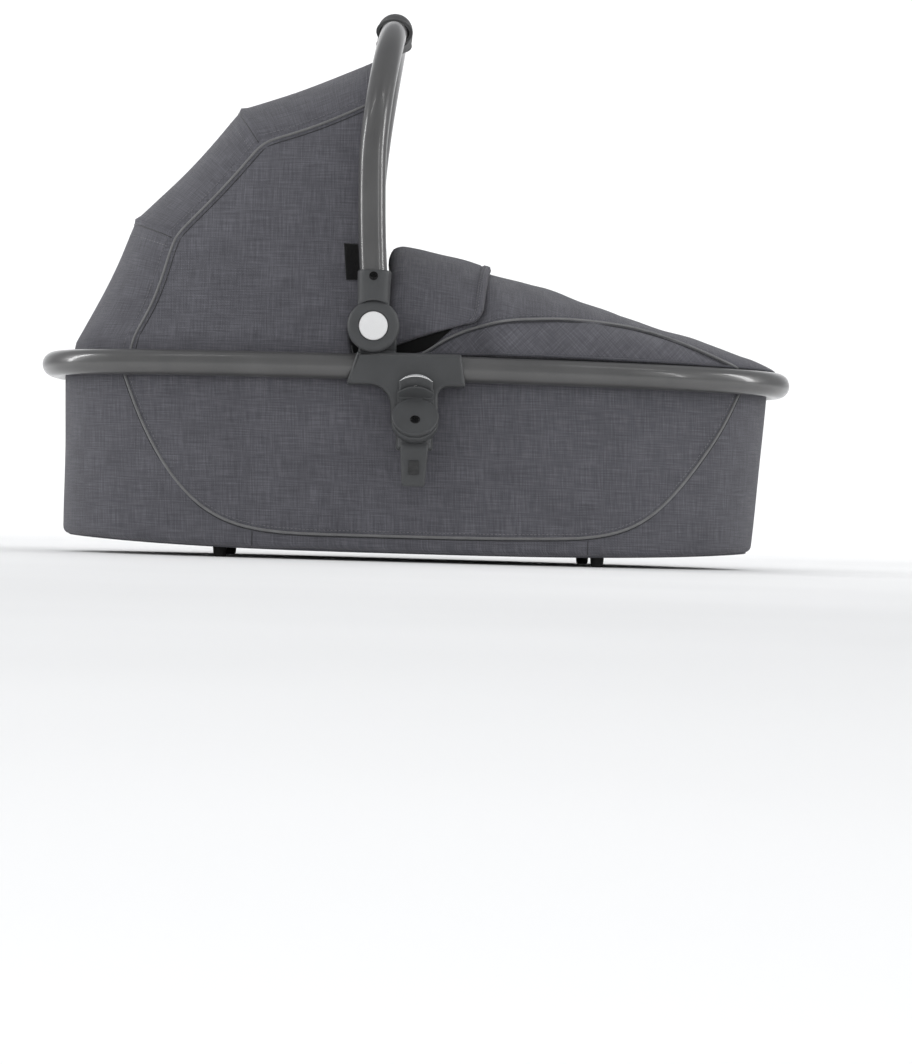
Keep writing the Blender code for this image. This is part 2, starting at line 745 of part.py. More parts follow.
def make_body():
    """Fabric cover, stiffening sheet, padded lining and moulded base tray."""
    cover_rows = [wall_ring(0.0, 0.0), *corner_rings(0.0), floor_ring(BODY_HEM, 0.0)]
    cover = loft("body_cover", cover_rows, "fabric")
    thicken(cover, WALL_THICKNESS)
    smooth(cover)

    tray_rows = [wall_ring(wall_share(TRAY_UPSTAND), TRAY_INSET), *corner_rings(TRAY_INSET)]
    edge = tray_rows[-1]
    for share in TRAY_RING_SHARES:
        tray_rows.append([(x * share, y * share, base_height(x * share) + TRAY_INSET)
                          for x, y, _ in edge])
    tray = loft("base_tray", tray_rows, "plastic", cap_last=True)
    thicken(tray, TRAY_THICKNESS)
    smooth(tray)
    for name, (x, y) in foot_places().items():
        cut(tray, rod(f"{name}_hole", (x, y, 0), (x, y, TRAY_UPSTAND), FOOT_STEM_RADIUS + GAP,
                      FOOT_STEPS))

    sheet_rows = [wall_ring(0.0, TRAY_INSET), wall_ring(wall_share(STIFFENER_LIFT), TRAY_INSET)]
    sheet = loft("wall_stiffener", sheet_rows, "plastic")
    thicken(sheet, STIFFENER_THICKNESS)

    lining = LINER_INSET - WALL_TOP_INSET
    floor = board_height() + BOARD_THICKNESS + GAP
    liner_rows = [
        [(x, y, LINER_TOP) for x, y in plan_ring(lining, 0.0)],
        [(x, y, floor) for x, y in plan_ring(lining, 1.0)],
    ]
    liner = loft("inner_liner", liner_rows, "lining")
    thicken(liner, LINER_THICKNESS)
    smooth(liner)


def board_reach():
    """How far the base board reaches from the middle towards each end."""
    deep = LINER_INSET + HEAD_LEAN + LINER_THICKNESS / 2
    return RIM_HALF_LENGTH - deep - BOARD_INSET - FOOT_LEAN


def tray_floor(x, lean):
    """Height of the tray's faceted floor near one end, between its edge and its next ring."""
    edge = RIM_HALF_LENGTH - WALL_TOP_INSET - BODY_CORNER - lean
    ring = edge * TRAY_RING_SHARES[0]
    share = (x - ring) / (edge - ring)
    return base_height(ring) * (1 - share) + base_height(edge) * share + TRAY_FLOOR


def board_height():
    """Height of the board's underside, where its ends rest on the tray."""
    reach = board_reach()
    return max(tray_floor(reach, HEAD_LEAN), tray_floor(reach, FOOT_LEAN)) + GAP


def make_base():
    """Board on the tray, mattress on the board, and four turned rubber feet."""
    reach = board_reach()
    narrow = RIM_HALF_WIDTH - LINER_INSET - SIDE_LEAN - BOARD_INSET - LINER_THICKNESS / 2
    low, high = board_height(), board_height() + BOARD_THICKNESS
    turns = [2 * math.pi * step / RING_STEPS for step in range(RING_STEPS)]
    rows = []
    for z in (high, low):
        rows.append([(*plan_point(turn, reach, reach, narrow), z) for turn in turns])
    loft("base_board", rows, "board", cap_first=True, cap_last=True)

    make_mattress(high + GAP)

    for name, (x, y) in foot_places().items():
        top = base_height(abs(x) - FOOT_TOP_RADIUS) + TRAY_INSET - GAP
        stem = base_height(abs(x) + FOOT_TOP_RADIUS) + TRAY_FLOOR
        profile = [
            (0, stem + FOOT_STEM_PROUD),
            (FOOT_STEM_RADIUS, stem + FOOT_STEM_PROUD),
            (FOOT_STEM_RADIUS, top),
            (FOOT_TOP_RADIUS, top),
            (FOOT_BOTTOM_RADIUS, FOOT_EDGE),
            (FOOT_BOTTOM_RADIUS - FOOT_EDGE, 0),
            (0, 0),
        ]
        foot = turned(name, profile, FOOT_STEPS, "rubber")
        foot.location = (x, y, 0)


def make_mattress(bottom):
    """Crowned mattress with drawn-in sides and cross channels pressed into its top."""
    clear = LINER_INSET + LINER_THICKNESS + MATTRESS_CLEARANCE
    head = RIM_HALF_LENGTH - clear - HEAD_LEAN
    foot = RIM_HALF_LENGTH - clear - FOOT_LEAN
    side = RIM_HALF_WIDTH - clear - SIDE_LEAN
    top = bottom + MATTRESS_THICKNESS
    half = MATTRESS_THICKNESS / 2
    levels = [
        (MATTRESS_EDGE, bottom),
        (0.0, bottom + MATTRESS_EDGE),
        (MATTRESS_WAIST, bottom + half),
        (0.0, top - MATTRESS_EDGE),
        (MATTRESS_EDGE, top),
    ]
    rows = []
    for inset, z in levels:
        row = []
        for step in range(RING_STEPS):
            turn = 2 * math.pi * step / RING_STEPS
            row.append((*plan_point(turn, head - inset, foot - inset, side - inset), z))
        rows.append(row)
    edge = rows[-1]
    for share in MATTRESS_RING_SHARES:
        row = []
        for x, y, _ in edge:
            x, y = x * share, y * share
            crown = MATTRESS_CROWN * (1 - share ** 2)
            wave = math.sin(math.pi * x / MATTRESS_CHANNEL_PITCH) * MATTRESS_CHANNEL_NARROW_SHARE
            dip = MATTRESS_CHANNEL_DEPTH * math.exp(-wave ** 2)
            row.append((x, y, top + crown - dip * (1 - share ** MATTRESS_CHANNEL_FADE_SHARE)))
        rows.append(row)
    rows.reverse()
    mattress = loft("mattress", rows, "mattress", cap_first=True, cap_last=True)
    smooth(mattress)


def make_bracket(end, side):
    """Sleeve over the rim joint with a stem below for the adapter and an ear above for the hub."""
    name = f"side_bracket_{end}"
    fillet = arc((STEM_HEAD_X - STEM_FILLET, SLEEVE_BOTTOM - STEM_FILLET), STEM_FILLET,
                 STEM_FILLET_DEGREES, 0, STEM_FILLET_STEPS)
    low = SLEEVE_BOTTOM - STEM_DEPTH
    outline = [
        (SLEEVE_HEAD_X + SLEEVE_SLANT, SLEEVE_TOP),
        (SLEEVE_HEAD_X - SLEEVE_SLANT, SLEEVE_BOTTOM),
        *fillet,
        (STEM_HEAD_X, low),
        (STEM_FOOT_X, low),
        (STEM_FOOT_X, SLEEVE_BOTTOM - STEM_FILLET),
        (STEM_FOOT_X + SLEEVE_SLANT, SLEEVE_BOTTOM + GAP),
        (SLEEVE_FOOT_X + SLEEVE_SLANT, SLEEVE_BOTTOM + 2 * GAP),
        (SLEEVE_FOOT_X - SLEEVE_SLANT, SLEEVE_TOP),
    ]
    bracket = plate(name, outline, side, SLEEVE_INNER, SLEEVE_OUTER, "plastic")
    soften(bracket, SLEEVE_BEVEL, degrees=STEEP_EDGE_DEGREES)

    neck_x = HUB_X + NECK_SHIFT
    neck = box(
        f"{name}_neck",
        (neck_x - NECK_WIDTH / 2, side * (SLEEVE_INNER + GAP), SLEEVE_TOP - SLEEVE_TOP_WALL / 2),
        (neck_x + NECK_WIDTH / 2, side * (EAR_OUTER - GAP), HUB_HEIGHT - EAR_RADIUS / 2),
    )
    ear = cross_rod(f"{name}_ear", side, SLEEVE_INNER, EAR_OUTER, EAR_RADIUS, HUB_STEPS)
    join(bracket, neck, ear)

    head, foot = rim_paths()
    path = []
    for x, y, z in [*reversed(head), *foot[1:]]:
        if y > 0:
            path.append((x, side * y, z))
    bore = bar(f"{name}_bore", path, RIM_RADIUS + GAP, TUBE_RESOLUTION)
    shelf = WALL_TOP + BODY_SLOT_HEIGHT
    reach = SLEEVE_FOOT_X - SLEEVE_HEAD_X
    relief = box(
        f"{name}_relief",
        (SLEEVE_HEAD_X - reach, 0, low - OVERRUN),
        (SLEEVE_FOOT_X + reach, side * (RIM_HALF_WIDTH - WALL_TOP_INSET + BODY_SLOT_DEPTH), shelf),
    )
    ring = cross_rod(f"{name}_seat", side, EAR_OUTER - DETENT_THICKNESS - GAP, EAR_OUTER + OVERRUN,
                     DETENT_RADIUS + GAP, HUB_STEPS)
    hole = cross_rod(f"{name}_hole", side, SLEEVE_INNER - OVERRUN, EAR_OUTER + OVERRUN,
                     BOLT_RADIUS + BOLT_CLEARANCE, BOLT_STEPS)
    cut(bracket, bore, relief, ring, hole)


def make_pivot(end, side):
    """Bolt on the hub axis, its nut, and the detent ring let into the ear."""
    bolt = cross_rod(f"pivot_bolt_{end}", side, BOLT_INNER, HUB_WEB_OUT + GAP + OVERRUN / 2,
                     BOLT_RADIUS, BOLT_STEPS, "steel")
    head = cross_rod(f"pivot_bolt_{end}_head", side, HUB_WEB_OUT + GAP,
                     HUB_WEB_OUT + GAP + BOLT_HEAD, BOLT_HEAD_RADIUS, BOLT_STEPS)
    join(bolt, head)
    nut = cross_rod(f"pivot_nut_{end}", side, BOLT_INNER, BOLT_INNER + NUT_THICKNESS, NUT_RADIUS,
                    NUT_SIDES, "steel")
    cut(nut, cross_rod(f"pivot_nut_{end}_bore", side, BOLT_INNER - OVERRUN,
                       BOLT_INNER + NUT_THICKNESS + OVERRUN, BOLT_RADIUS + BOLT_CLEARANCE,
                       BOLT_STEPS))
    ring = cross_rod(f"detent_ring_{end}", side, EAR_OUTER - DETENT_THICKNESS, EAR_OUTER,
                     DETENT_RADIUS, HUB_STEPS, "steel")
    cut(ring, cross_rod(f"detent_ring_{end}_bore", side, EAR_OUTER - 2 * DETENT_THICKNESS,
                        EAR_OUTER + OVERRUN, DETENT_BORE, BOLT_STEPS))
    for step in range(DETENT_NOTCHES):
        angle = 2 * math.pi * step / DETENT_NOTCHES
        at = (HUB_X + DETENT_BORE * math.cos(angle), HUB_HEIGHT + DETENT_BORE * math.sin(angle))
        cut(ring, cross_rod(f"detent_notch_{end}_{step}", side, EAR_OUTER - 2 * DETENT_THICKNESS,
                            EAR_OUTER + OVERRUN, DETENT_NOTCH_RADIUS, DETENT_NOTCH_STEPS,
                            at=at))


def make_hub(end, side):
    """Moving half of the hub with the collar that clamps the handle tube."""
    name = f"handle_hub_{end}"
    hub = cross_rod(name, side, HUB_INNER, HUB_OUTER, HUB_RADIUS, HUB_STEPS, "plastic")
    soften(hub, HUB_BEVEL)
    collar_bottom = HUB_HEIGHT + HUB_RADIUS + COLLAR_CLEARANCE
    collar = box(
        f"{name}_collar",
        (HUB_X - COLLAR_HALF_WIDTH, side * COLLAR_INNER,
         collar_bottom),
        (HUB_X + COLLAR_HALF_WIDTH, side * COLLAR_OUTER, HUB_HEIGHT + COLLAR_TOP),
    )
    soften(collar, COLLAR_BEVEL)
    root = box(
        f"{name}_root",
        (HUB_X - COLLAR_HALF_WIDTH, side * (HUB_INNER + GAP), HUB_HEIGHT + BUTTON_RADIUS + OVERRUN),
        (HUB_X + COLLAR_HALF_WIDTH, side * HUB_OUTER, collar_bottom + OVERRUN),
    )
    join(hub, root, collar)
    bore = bar(f"{name}_bore", [p for p in handle_path(GAP * 2) if p[2] < HANDLE_SPRING_HEIGHT
               and p[1] * side > 0], HANDLE_TUBE_RADIUS + GAP, TUBE_RESOLUTION)
    well = cross_rod(f"{name}_well", side, HUB_WEB_OUT, HUB_OUTER + OVERRUN,
                     BUTTON_RADIUS + BUTTON_CLEARANCE, BUTTON_STEPS)
    recess = cross_rod(f"{name}_recess", side, HUB_INNER - OVERRUN, HUB_WEB_IN, HUB_INNER_RADIUS,
                       BUTTON_STEPS)
    hole = cross_rod(f"{name}_hole", side, HUB_INNER - OVERRUN, HUB_OUTER + OVERRUN,
                     BOLT_RADIUS + BOLT_CLEARANCE, BOLT_STEPS)
    seat = cross_rod(f"{name}_screw_seat", side, COLLAR_OUTER - SCREW_HEAD - GAP,
                     COLLAR_OUTER + OVERRUN, SCREW_HEAD_RADIUS + GAP, SCREW_STEPS,
                     at=collar_screw_place())
    cut(hub, bore, well, recess, hole, seat, collar_screw_hole(name, side))


def collar_screw_place():
    """Place in X and Z of the screw that holds the tube in its collar."""
    height = HUB_HEIGHT + COLLAR_SCREW_HEIGHT
    return handle_x(height), height


def collar_screw_hole(name, side):
    """Cutter for the hole of the collar's screw, through the collar and the tube's outer wall."""
    return cross_rod(f"{name}_screw_hole", side, HANDLE_HALF_SPAN, COLLAR_OUTER + OVERRUN,
                     SCREW_SHANK_RADIUS + GAP, SCREW_STEPS, at=collar_screw_place())


def make_button(end, side):
    """Round press button with a skirt that hides the bolt's head, and its return spring."""
    outer = HUB_OUTER + BUTTON_PROUD
    roof = outer - BUTTON_ROOF
    button = cross_rod(f"hub_button_{end}", side, roof - BUTTON_SKIRT, outer, BUTTON_RADIUS,
                       BUTTON_STEPS, "plastic_light")
    soften(button, BUTTON_BEVEL)
    cut(button, cross_rod(f"hub_button_{end}_hollow", side, roof - BUTTON_SKIRT - OVERRUN, roof,
                          BUTTON_SPRING_RADIUS + SPRING_WIRE + GAP, BUTTON_STEPS))
    start = HUB_WEB_OUT + GAP
    helix(f"button_spring_{end}", (HUB_X, side * start, HUB_HEIGHT), (0, side, 0),
          BUTTON_SPRING_RADIUS, roof - GAP - start, BUTTON_SPRING_TURNS, SPRING_WIRE, "steel")


def screw(name, place, direction, shank):
    """Dome-headed screw with its head's underside at a place."""
    dome = [(SCREW_HEAD_RADIUS * across, SCREW_HEAD * up) for across, up in SCREW_DOME_SHARES]
    profile = [
        (0, SCREW_HEAD),
        *dome,
        (SCREW_HEAD_RADIUS, 0),
        (SCREW_SHANK_RADIUS, 0),
        (SCREW_SHANK_RADIUS, -shank),
        (0, -shank),
    ]
    made = turned(name, profile, SCREW_STEPS, "black_steel")
    aim(made, place, direction)
    return made


def handle_x(z):
    """Place along X of the handle's centre line at a height: bowed back, then swept forward."""
    if z < HANDLE_BOW_HEIGHT:
        share = (HANDLE_BOW_HEIGHT - z) / (HANDLE_BOW_HEIGHT - HUB_HEIGHT - HANDLE_LEG_START)
        return HANDLE_BACK_X + HANDLE_FOOT_BOW * share ** 2
    share = (z - HANDLE_BOW_HEIGHT) / (HANDLE_TOP - HANDLE_BOW_HEIGHT)
    return HANDLE_BACK_X + HANDLE_TOP_BOW * share ** HANDLE_BOW_POWER_SHARE


def handle_path(start_drop=0.0):
    """Centre line of the handle: a straight leg, an elliptic arch and the other leg."""
    foot = HUB_HEIGHT + HANDLE_LEG_START
    rise = HANDLE_TOP - HANDLE_SPRING_HEIGHT
    half = []
    for step in range(HANDLE_LEG_STEPS):
        z = foot + (HANDLE_SPRING_HEIGHT - foot) * step / HANDLE_LEG_STEPS
        half.append((handle_x(z), -HANDLE_HALF_SPAN, z - (start_drop if step == 0 else 0)))
    for step in range(HANDLE_ARCH_STEPS):
        angle = math.pi / 2 * step / HANDLE_ARCH_STEPS
        z = HANDLE_SPRING_HEIGHT + rise * math.sin(angle)
        half.append((handle_x(z), -HANDLE_HALF_SPAN * math.cos(angle), z))
    top = [(handle_x(HANDLE_TOP), 0.0, HANDLE_TOP)]
    return half + top + [(x, -y, z) for x, y, z in reversed(half)]


def arch_point(y):
    """Point of the handle's arch at a distance across."""
    rise = HANDLE_TOP - HANDLE_SPRING_HEIGHT
    z = HANDLE_SPRING_HEIGHT + rise * math.sqrt(1 - (y / HANDLE_HALF_SPAN) ** 2)
    return (handle_x(z), y, z)


def make_handle():
    """Bent tube with a moulded grip over the middle of its arch."""
    handle = tube("handle_tube", handle_path(), HANDLE_TUBE_RADIUS, HANDLE_TUBE_WALL,
                  TUBE_RESOLUTION, "rim_tube")
    smooth(handle)
    for end, side in SIDES.items():
        cut(handle, collar_screw_hole(f"handle_tube_{end}", side))
    path = []
    for step in range(GRIP_STEPS + 1):
        path.append(arch_point(-GRIP_HALF_LENGTH + 2 * GRIP_HALF_LENGTH * step / GRIP_STEPS))
    grip = bar("handle_grip", path, HANDLE_TUBE_RADIUS + GRIP_WALL, TUBE_RESOLUTION + 1, "plastic")
    soften(grip, GRIP_EDGE, segments=1, degrees=STEEP_EDGE_DEGREES)
    path = handle_path()
    middle = len(path) // 2
    path = path[middle - GRIP_BORE_ARCH_STEPS:middle + GRIP_BORE_ARCH_STEPS + 1]
    radius = HANDLE_TUBE_RADIUS / math.cos(math.pi / TUBE_SIDES) + GAP
    cut(grip, bar("handle_grip_bore", path, radius, TUBE_RESOLUTION))
    smooth(grip)


def drum_frame(side):
    """Centre of the adapter's tilted face and its outward direction."""
    centre = Vector((ADAPTER_X, side * (ADAPTER_INNER + DRUM_REACH), DRUM_HEIGHT))
    normal = Vector((0, side * math.cos(DRUM_TILT), math.sin(DRUM_TILT)))
    return centre, normal


def make_adapter(end, side):
    """Adapter core with its plug, tilted cap, screw, release button, trim, spring and latch."""
    name = f"adapter_core_{end}"
    centre, normal = drum_frame(side)
    left, right = ADAPTER_X - ADAPTER_HALF_WIDTH, ADAPTER_X + ADAPTER_HALF_WIDTH
    core = box(name, (left, side * ADAPTER_INNER, ADAPTER_NECK_BOTTOM),
               (right, side * ADAPTER_FACE, ADAPTER_TOP), "plastic")
    soften(core, ADAPTER_BEVEL)
    within = ADAPTER_INNER + ADAPTER_PLATE / 2
    neck = box(f"{name}_neck", (left + ADAPTER_BEVEL, side * within, ADAPTER_NECK_BOTTOM + GAP),
               (right - ADAPTER_BEVEL, side * (ADAPTER_INNER + ADAPTER_NECK_DEPTH),
                ADAPTER_NECK_TOP))
    soften(neck, ADAPTER_BEVEL)
    drum = rod(f"{name}_drum", centre - normal * (DRUM_CAP + GAP + DRUM_CORE),
               centre - normal * DRUM_CAP, DRUM_RADIUS - DRUM_CORE_INSET, DRUM_STEPS)
    tongue = tongue_shape(f"{name}_tongue", side)
    lug_top = RELEASE_TOP - RELEASE_ROOF
    lug = box(f"{name}_lug", (ADAPTER_X - LUG_HALF_WIDTH, side * (ADAPTER_FACE - GAP), lug_top),
              (ADAPTER_X + LUG_HALF_WIDTH, side * (ADAPTER_FACE + LUG_DEPTH), lug_top - LUG_HEIGHT))
    join(core, neck, drum, tongue, lug)
    keep = rod(f"{name}_face", centre - normal * (DRUM_CAP + GAP),
               centre + normal * DRUM_RADIUS, 2 * DRUM_RADIUS, DRUM_STEPS)
    cut(drum, box(f"{name}_back", (left - DRUM_RADIUS, 0, TONGUE_BOTTOM),
                  (right + DRUM_RADIUS, side * (within - GAP), ADAPTER_TOP + OVERRUN)))
    window = box(f"{name}_window", (left - DRUM_RADIUS, 0, RELEASE_BOTTOM - GAP),
                 (right + DRUM_RADIUS, side * (ADAPTER_FACE + ADAPTER_NECK_DEPTH + DRUM_RADIUS),
                  ADAPTER_TOP + DRUM_RADIUS))
    backing = box(f"{name}_backing", (left - DRUM_RADIUS, 0, TONGUE_BOTTOM),
                  (right + DRUM_RADIUS, side * (ADAPTER_FACE - GAP), RELEASE_BOTTOM))
    cut(keep, window, backing)
    spring_hole = centre - normal * (DRUM_CAP + DRUM_CORE)
    thread = rod(f"{name}_thread", spring_hole, centre + normal * OVERRUN,
                 SCREW_SHANK_RADIUS + GAP, SCREW_STEPS)
    slot = latch_box(f"{name}_slot", side, LATCH_CLEARANCE, LATCH_TRAVEL + LATCH_CLEARANCE,
                     OVERRUN)
    cut(core, keep, thread, slot)

    cap = rod(f"adapter_cap_{end}", centre - normal * DRUM_CAP, centre, DRUM_RADIUS, DRUM_STEPS,
              "plastic")
    soften(cap, DRUM_BEVEL)
    seat = rod(f"adapter_cap_{end}_seat", centre - normal * (SCREW_HEAD + GAP),
               centre + normal * OVERRUN, SCREW_HEAD_RADIUS + GAP, SCREW_STEPS)
    wall = box(f"adapter_cap_{end}_wall", (left - DRUM_RADIUS, 0, ADAPTER_NECK_BOTTOM),
               (right + DRUM_RADIUS, side * (ADAPTER_FACE + GAP), RELEASE_TOP))
    hole = rod(f"adapter_cap_{end}_hole", centre - normal * 2 * DRUM_CAP,
               centre + normal * OVERRUN, SCREW_SHANK_RADIUS + GAP, SCREW_STEPS)
    cut(cap, seat, hole, wall)
    screw(f"adapter_screw_{end}", centre - normal * SCREW_HEAD, normal,
          DRUM_CAP - SCREW_HEAD + DRUM_CORE / 2)

    make_release(end, side)
    latch = latch_box(f"adapter_latch_{end}", side, 0.0, 0.0, LATCH_PROUD, "steel")
    soften(latch, LATCH_CLEARANCE)


def tongue_shape(name, side):
    """Tapered plug below the adapter's neck."""
    shape = bmesh.new()
    middle = side * (ADAPTER_INNER + TONGUE_REACH)
    levels = (
        (TONGUE_BOTTOM, TONGUE_BOTTOM_HALF_WIDTH, TONGUE_BOTTOM_HALF_DEPTH),
        (ADAPTER_NECK_BOTTOM + OVERRUN, TONGUE_TOP_HALF_WIDTH, TONGUE_TOP_HALF_DEPTH),
    )
    rows = []
    for z, half_width, half_depth in levels:
        corners = [(-1, -1), (1, -1), (1, 1), (-1, 1)]
        rows.append([shape.verts.new((ADAPTER_X + a * half_width, middle + b * half_depth, z))
                     for a, b in corners])
    for i in range(4):
        j = (i + 1) % 4
        shape.faces.new((rows[0][i], rows[0][j], rows[1][j], rows[1][i]))
    shape.faces.new(rows[0])
    shape.faces.new(rows[1])
    return from_bmesh(name, shape)


def latch_box(name, side, grow, deeper, proud, key=None):
    """The latch pawl's block, or with a clearance the slot that it slides in."""
    face = ADAPTER_INNER + TONGUE_REACH + TONGUE_BOTTOM_HALF_DEPTH
    return box(
        name,
        (ADAPTER_X - LATCH_HALF_WIDTH - grow, side * (face - LATCH_DEPTH - deeper),
         LATCH_LOW - grow),
        (ADAPTER_X + LATCH_HALF_WIDTH + grow, side * (face + proud), LATCH_HIGH + grow),
        key,
    )


def make_release(end, side):
    """Thumb button that slides up the adapter, with its bright trim and return spring."""
    name = f"release_button_{end}"
    inner = ADAPTER_FACE + GAP
    outer = inner + RELEASE_DEPTH
    dome_radius = (RELEASE_HALF_WIDTH ** 2 + RELEASE_DOME ** 2) / (2 * RELEASE_DOME)
    reach = math.degrees(math.asin(RELEASE_HALF_WIDTH / dome_radius))
    dome = arc((ADAPTER_X, RELEASE_TOP - dome_radius), dome_radius, 90 + reach, 90 - reach,
               RELEASE_DOME_STEPS)
    outline = [(ADAPTER_X - RELEASE_HALF_WIDTH, RELEASE_BOTTOM), *dome,
               (ADAPTER_X + RELEASE_HALF_WIDTH, RELEASE_BOTTOM)]
    button = plate(name, outline, side, inner, outer - 2 * RELEASE_STEP, "plastic")
    for step in (1, 2):
        drop = RELEASE_DOME * step * RELEASE_STEP_DROP_SHARE
        wide = reach * RELEASE_STEP_REACH_SHARE
        raised = arc((ADAPTER_X, RELEASE_TOP - dome_radius - drop), dome_radius,
                     90 + wide, 90 - wide, RELEASE_DOME_STEPS)
        layer = [(raised[0][0], RELEASE_BOTTOM), *raised, (raised[-1][0], RELEASE_BOTTOM)]
        join(button, plate(f"{name}_step_{step}", layer, side, inner + RELEASE_STEP,
                           outer - (2 - step) * RELEASE_STEP))
    floor = RELEASE_BOTTOM + RELEASE_FLOOR
    pocket = box(f"{name}_pocket",
                 (ADAPTER_X - RELEASE_POCKET_HALF_WIDTH, side * (inner - OVERRUN), floor),
                 (ADAPTER_X + RELEASE_POCKET_HALF_WIDTH, side * (inner + RELEASE_POCKET_DEPTH),
                  RELEASE_TOP - RELEASE_ROOF + GAP * 2))
    cut(button, pocket)

    centre_z = RELEASE_TOP - dome_radius
    wide = reach * TRIM_REACH_SHARE
    trim_line = []
    for x, z in arc((ADAPTER_X, centre_z), dome_radius + TRIM_RADIUS + GAP, 90 + wide, 90 - wide,
                    TRIM_STEPS):
        trim_line.append((x, side * (outer - 2 * RELEASE_STEP - TRIM_RADIUS), z))
    bar(f"release_trim_{end}", trim_line, TRIM_RADIUS, TRIM_RESOLUTION, "trim")

    lug_bottom = RELEASE_TOP - RELEASE_ROOF - LUG_HEIGHT
    y = side * (inner + RELEASE_POCKET_DEPTH / 2)
    helix(f"release_spring_{end}", (ADAPTER_X, y, floor + GAP), (0, 0, 1), RELEASE_SPRING_RADIUS,
          lug_bottom - floor - 2 * GAP, RELEASE_SPRING_TURNS, RELEASE_SPRING_WIRE, "steel")


def ease(share):
    """A share that starts and ends gently."""
    return share * share * (3 - 2 * share)


def hood_radius(angle):
    """Reach of the hood's crown at an angle from upright: straight between ribs, a little slack."""
    stations = (
        (HOOD_FRONT_DEGREES, HOOD_FRONT_RADIUS),
        (HOOD_FRONT_RIB_DEGREES, HOOD_FRONT_RIB_RADIUS),
        (HOOD_REAR_RIB_DEGREES, HOOD_REAR_RIB_RADIUS),
        (HOOD_REAR_DEGREES, HOOD_REAR_RADIUS),
    )
    for (a0, r0), (a1, r1) in zip(stations, stations[1:]):
        if angle <= a1 + TINY:
            break
    span = math.radians(a1 - a0)
    share = (angle - a0) / (a1 - a0)
    into = math.radians(angle - a0)
    chord = r0 * r1 * math.sin(span) / (r0 * math.sin(into) + r1 * math.sin(span - into))
    return chord - HOOD_SAG * math.sin(math.pi * share)


def hood_bow(angle, reach, half_width, start, count):
    """A bow of the hood in its own plane: points (reach from the hub axis, distance across)."""
    power = 2 / HOOD_SQUARE_SHARE
    points = []
    for step in range(CURVE_SAMPLES + 1):
        turn = math.pi / 2 * step / CURVE_SAMPLES
        points.append((reach * math.sin(turn) ** power, -half_width * math.cos(turn) ** power))
    points = [p for p in points if p[0] > start]
    ratio = (start / reach) ** HOOD_SQUARE_SHARE
    points.insert(0, (start, -half_width * (1 - ratio) ** (1 / HOOD_SQUARE_SHARE)))
    half = resample([(r, y, 0) for r, y in points], count // 2 + 1)
    half = [(p.x, p.y) for p in half]
    return half + [(r, -y) for r, y in reversed(half[:-1])]


def hood_place(angle, reach, across):
    """World point of a bow's point."""
    turn = math.radians(angle)
    return (HUB_X - reach * math.sin(turn), across, HUB_HEIGHT + reach * math.cos(turn))


def rim_bow(count, start_x):
    """The hood's lower edge along the rim, from one side round the head end to the other."""
    reach = RIM_HALF_LENGTH - HOOD_INSET
    points = []
    first = turn_at(start_x, reach, reach)
    for step in range(CURVE_SAMPLES + 1):
        turn = first + (math.pi - first) * step / CURVE_SAMPLES
        x, y = plan_point(turn, reach, reach, HOOD_HALF_WIDTH)
        points.append((x, -y, 0))
    half = [(p.x, p.y) for p in resample(points, count // 2 + 1)]
    return half + [(x, -y) for x, y in reversed(half[:-1])]


def make_hood():
    """Fabric hood with its open mouth at the handle."""
    stations = (HOOD_FRONT_DEGREES, HOOD_FRONT_RIB_DEGREES, HOOD_REAR_RIB_DEGREES,
                HOOD_REAR_DEGREES)
    angles = [stations[0]]
    for first, second in zip(stations, stations[1:]):
        angles += [first + (second - first) * k / HOOD_BAY_STEPS
                   for k in range(1, HOOD_BAY_STEPS + 1)]
    low = rim_bow(HOOD_ACROSS_STEPS, HUB_X - HOOD_PIVOT_HOLE)
    rows = []
    for angle in angles:
        bow = hood_bow(angle, hood_radius(angle), HOOD_HALF_WIDTH, HOOD_PIVOT_HOLE,
                       HOOD_ACROSS_STEPS)
        if angle > HOOD_REAR_RIB_DEGREES:
            share = (angle - HOOD_REAR_RIB_DEGREES) / (HOOD_REAR_DEGREES - HOOD_REAR_RIB_DEGREES)
            share = ease(share)
            tip = HUB_X - low[len(low) // 2][0]
            stretch = hood_radius(angle) / tip
            flat = [((HUB_X - x) * stretch, y) for x, y in low]
            bow = [(r0 + (r1 - r0) * share, y0 + (y1 - y0) * share)
                   for (r0, y0), (r1, y1) in zip(bow, flat)]
        rows.append([hood_place(angle, r, y) for r, y in bow])
    edge = rim_bow(HOOD_ACROSS_STEPS, HUB_X - HOOD_FRONT_CORNER)
    rows.append([(x, y, HOOD_BOTTOM) for x, y in edge])
    hood = loft("hood_canopy", rows, "fabric", ring=False)
    flip_outward(hood, Vector((HUB_X, 0, HUB_HEIGHT)))
    thicken(hood, HOOD_THICKNESS)
    smooth(hood)


def flip_outward(made, inside):
    """Turn an open surface's faces to look away from a point inside it."""
    mesh = made.data
    facing = 0.0
    for face in mesh.polygons:
        facing += face.normal.dot(face.center - inside) * face.area
    if facing < 0:
        mesh.flip_normals()


def inset_path(points, distance):
    """An open path in a plane, moved to its left by a distance with its corners kept."""
    moved = []
    last = len(points) - 1
    for i, (x, y) in enumerate(points):
        before = Vector(points[max(i - 1, 0)])
        here = Vector((x, y))
        after = Vector(points[min(i + 1, last)])
        first = (here - before if i else after - here).normalized()
        second = (after - here if i < last else here - before).normalized()
        across = Vector((-first.y - second.y, first.x + second.x)).normalized()
        stretch = across.dot(Vector((-first.y, first.x)))
        moved.append(tuple(here + across * distance / stretch))
    return moved


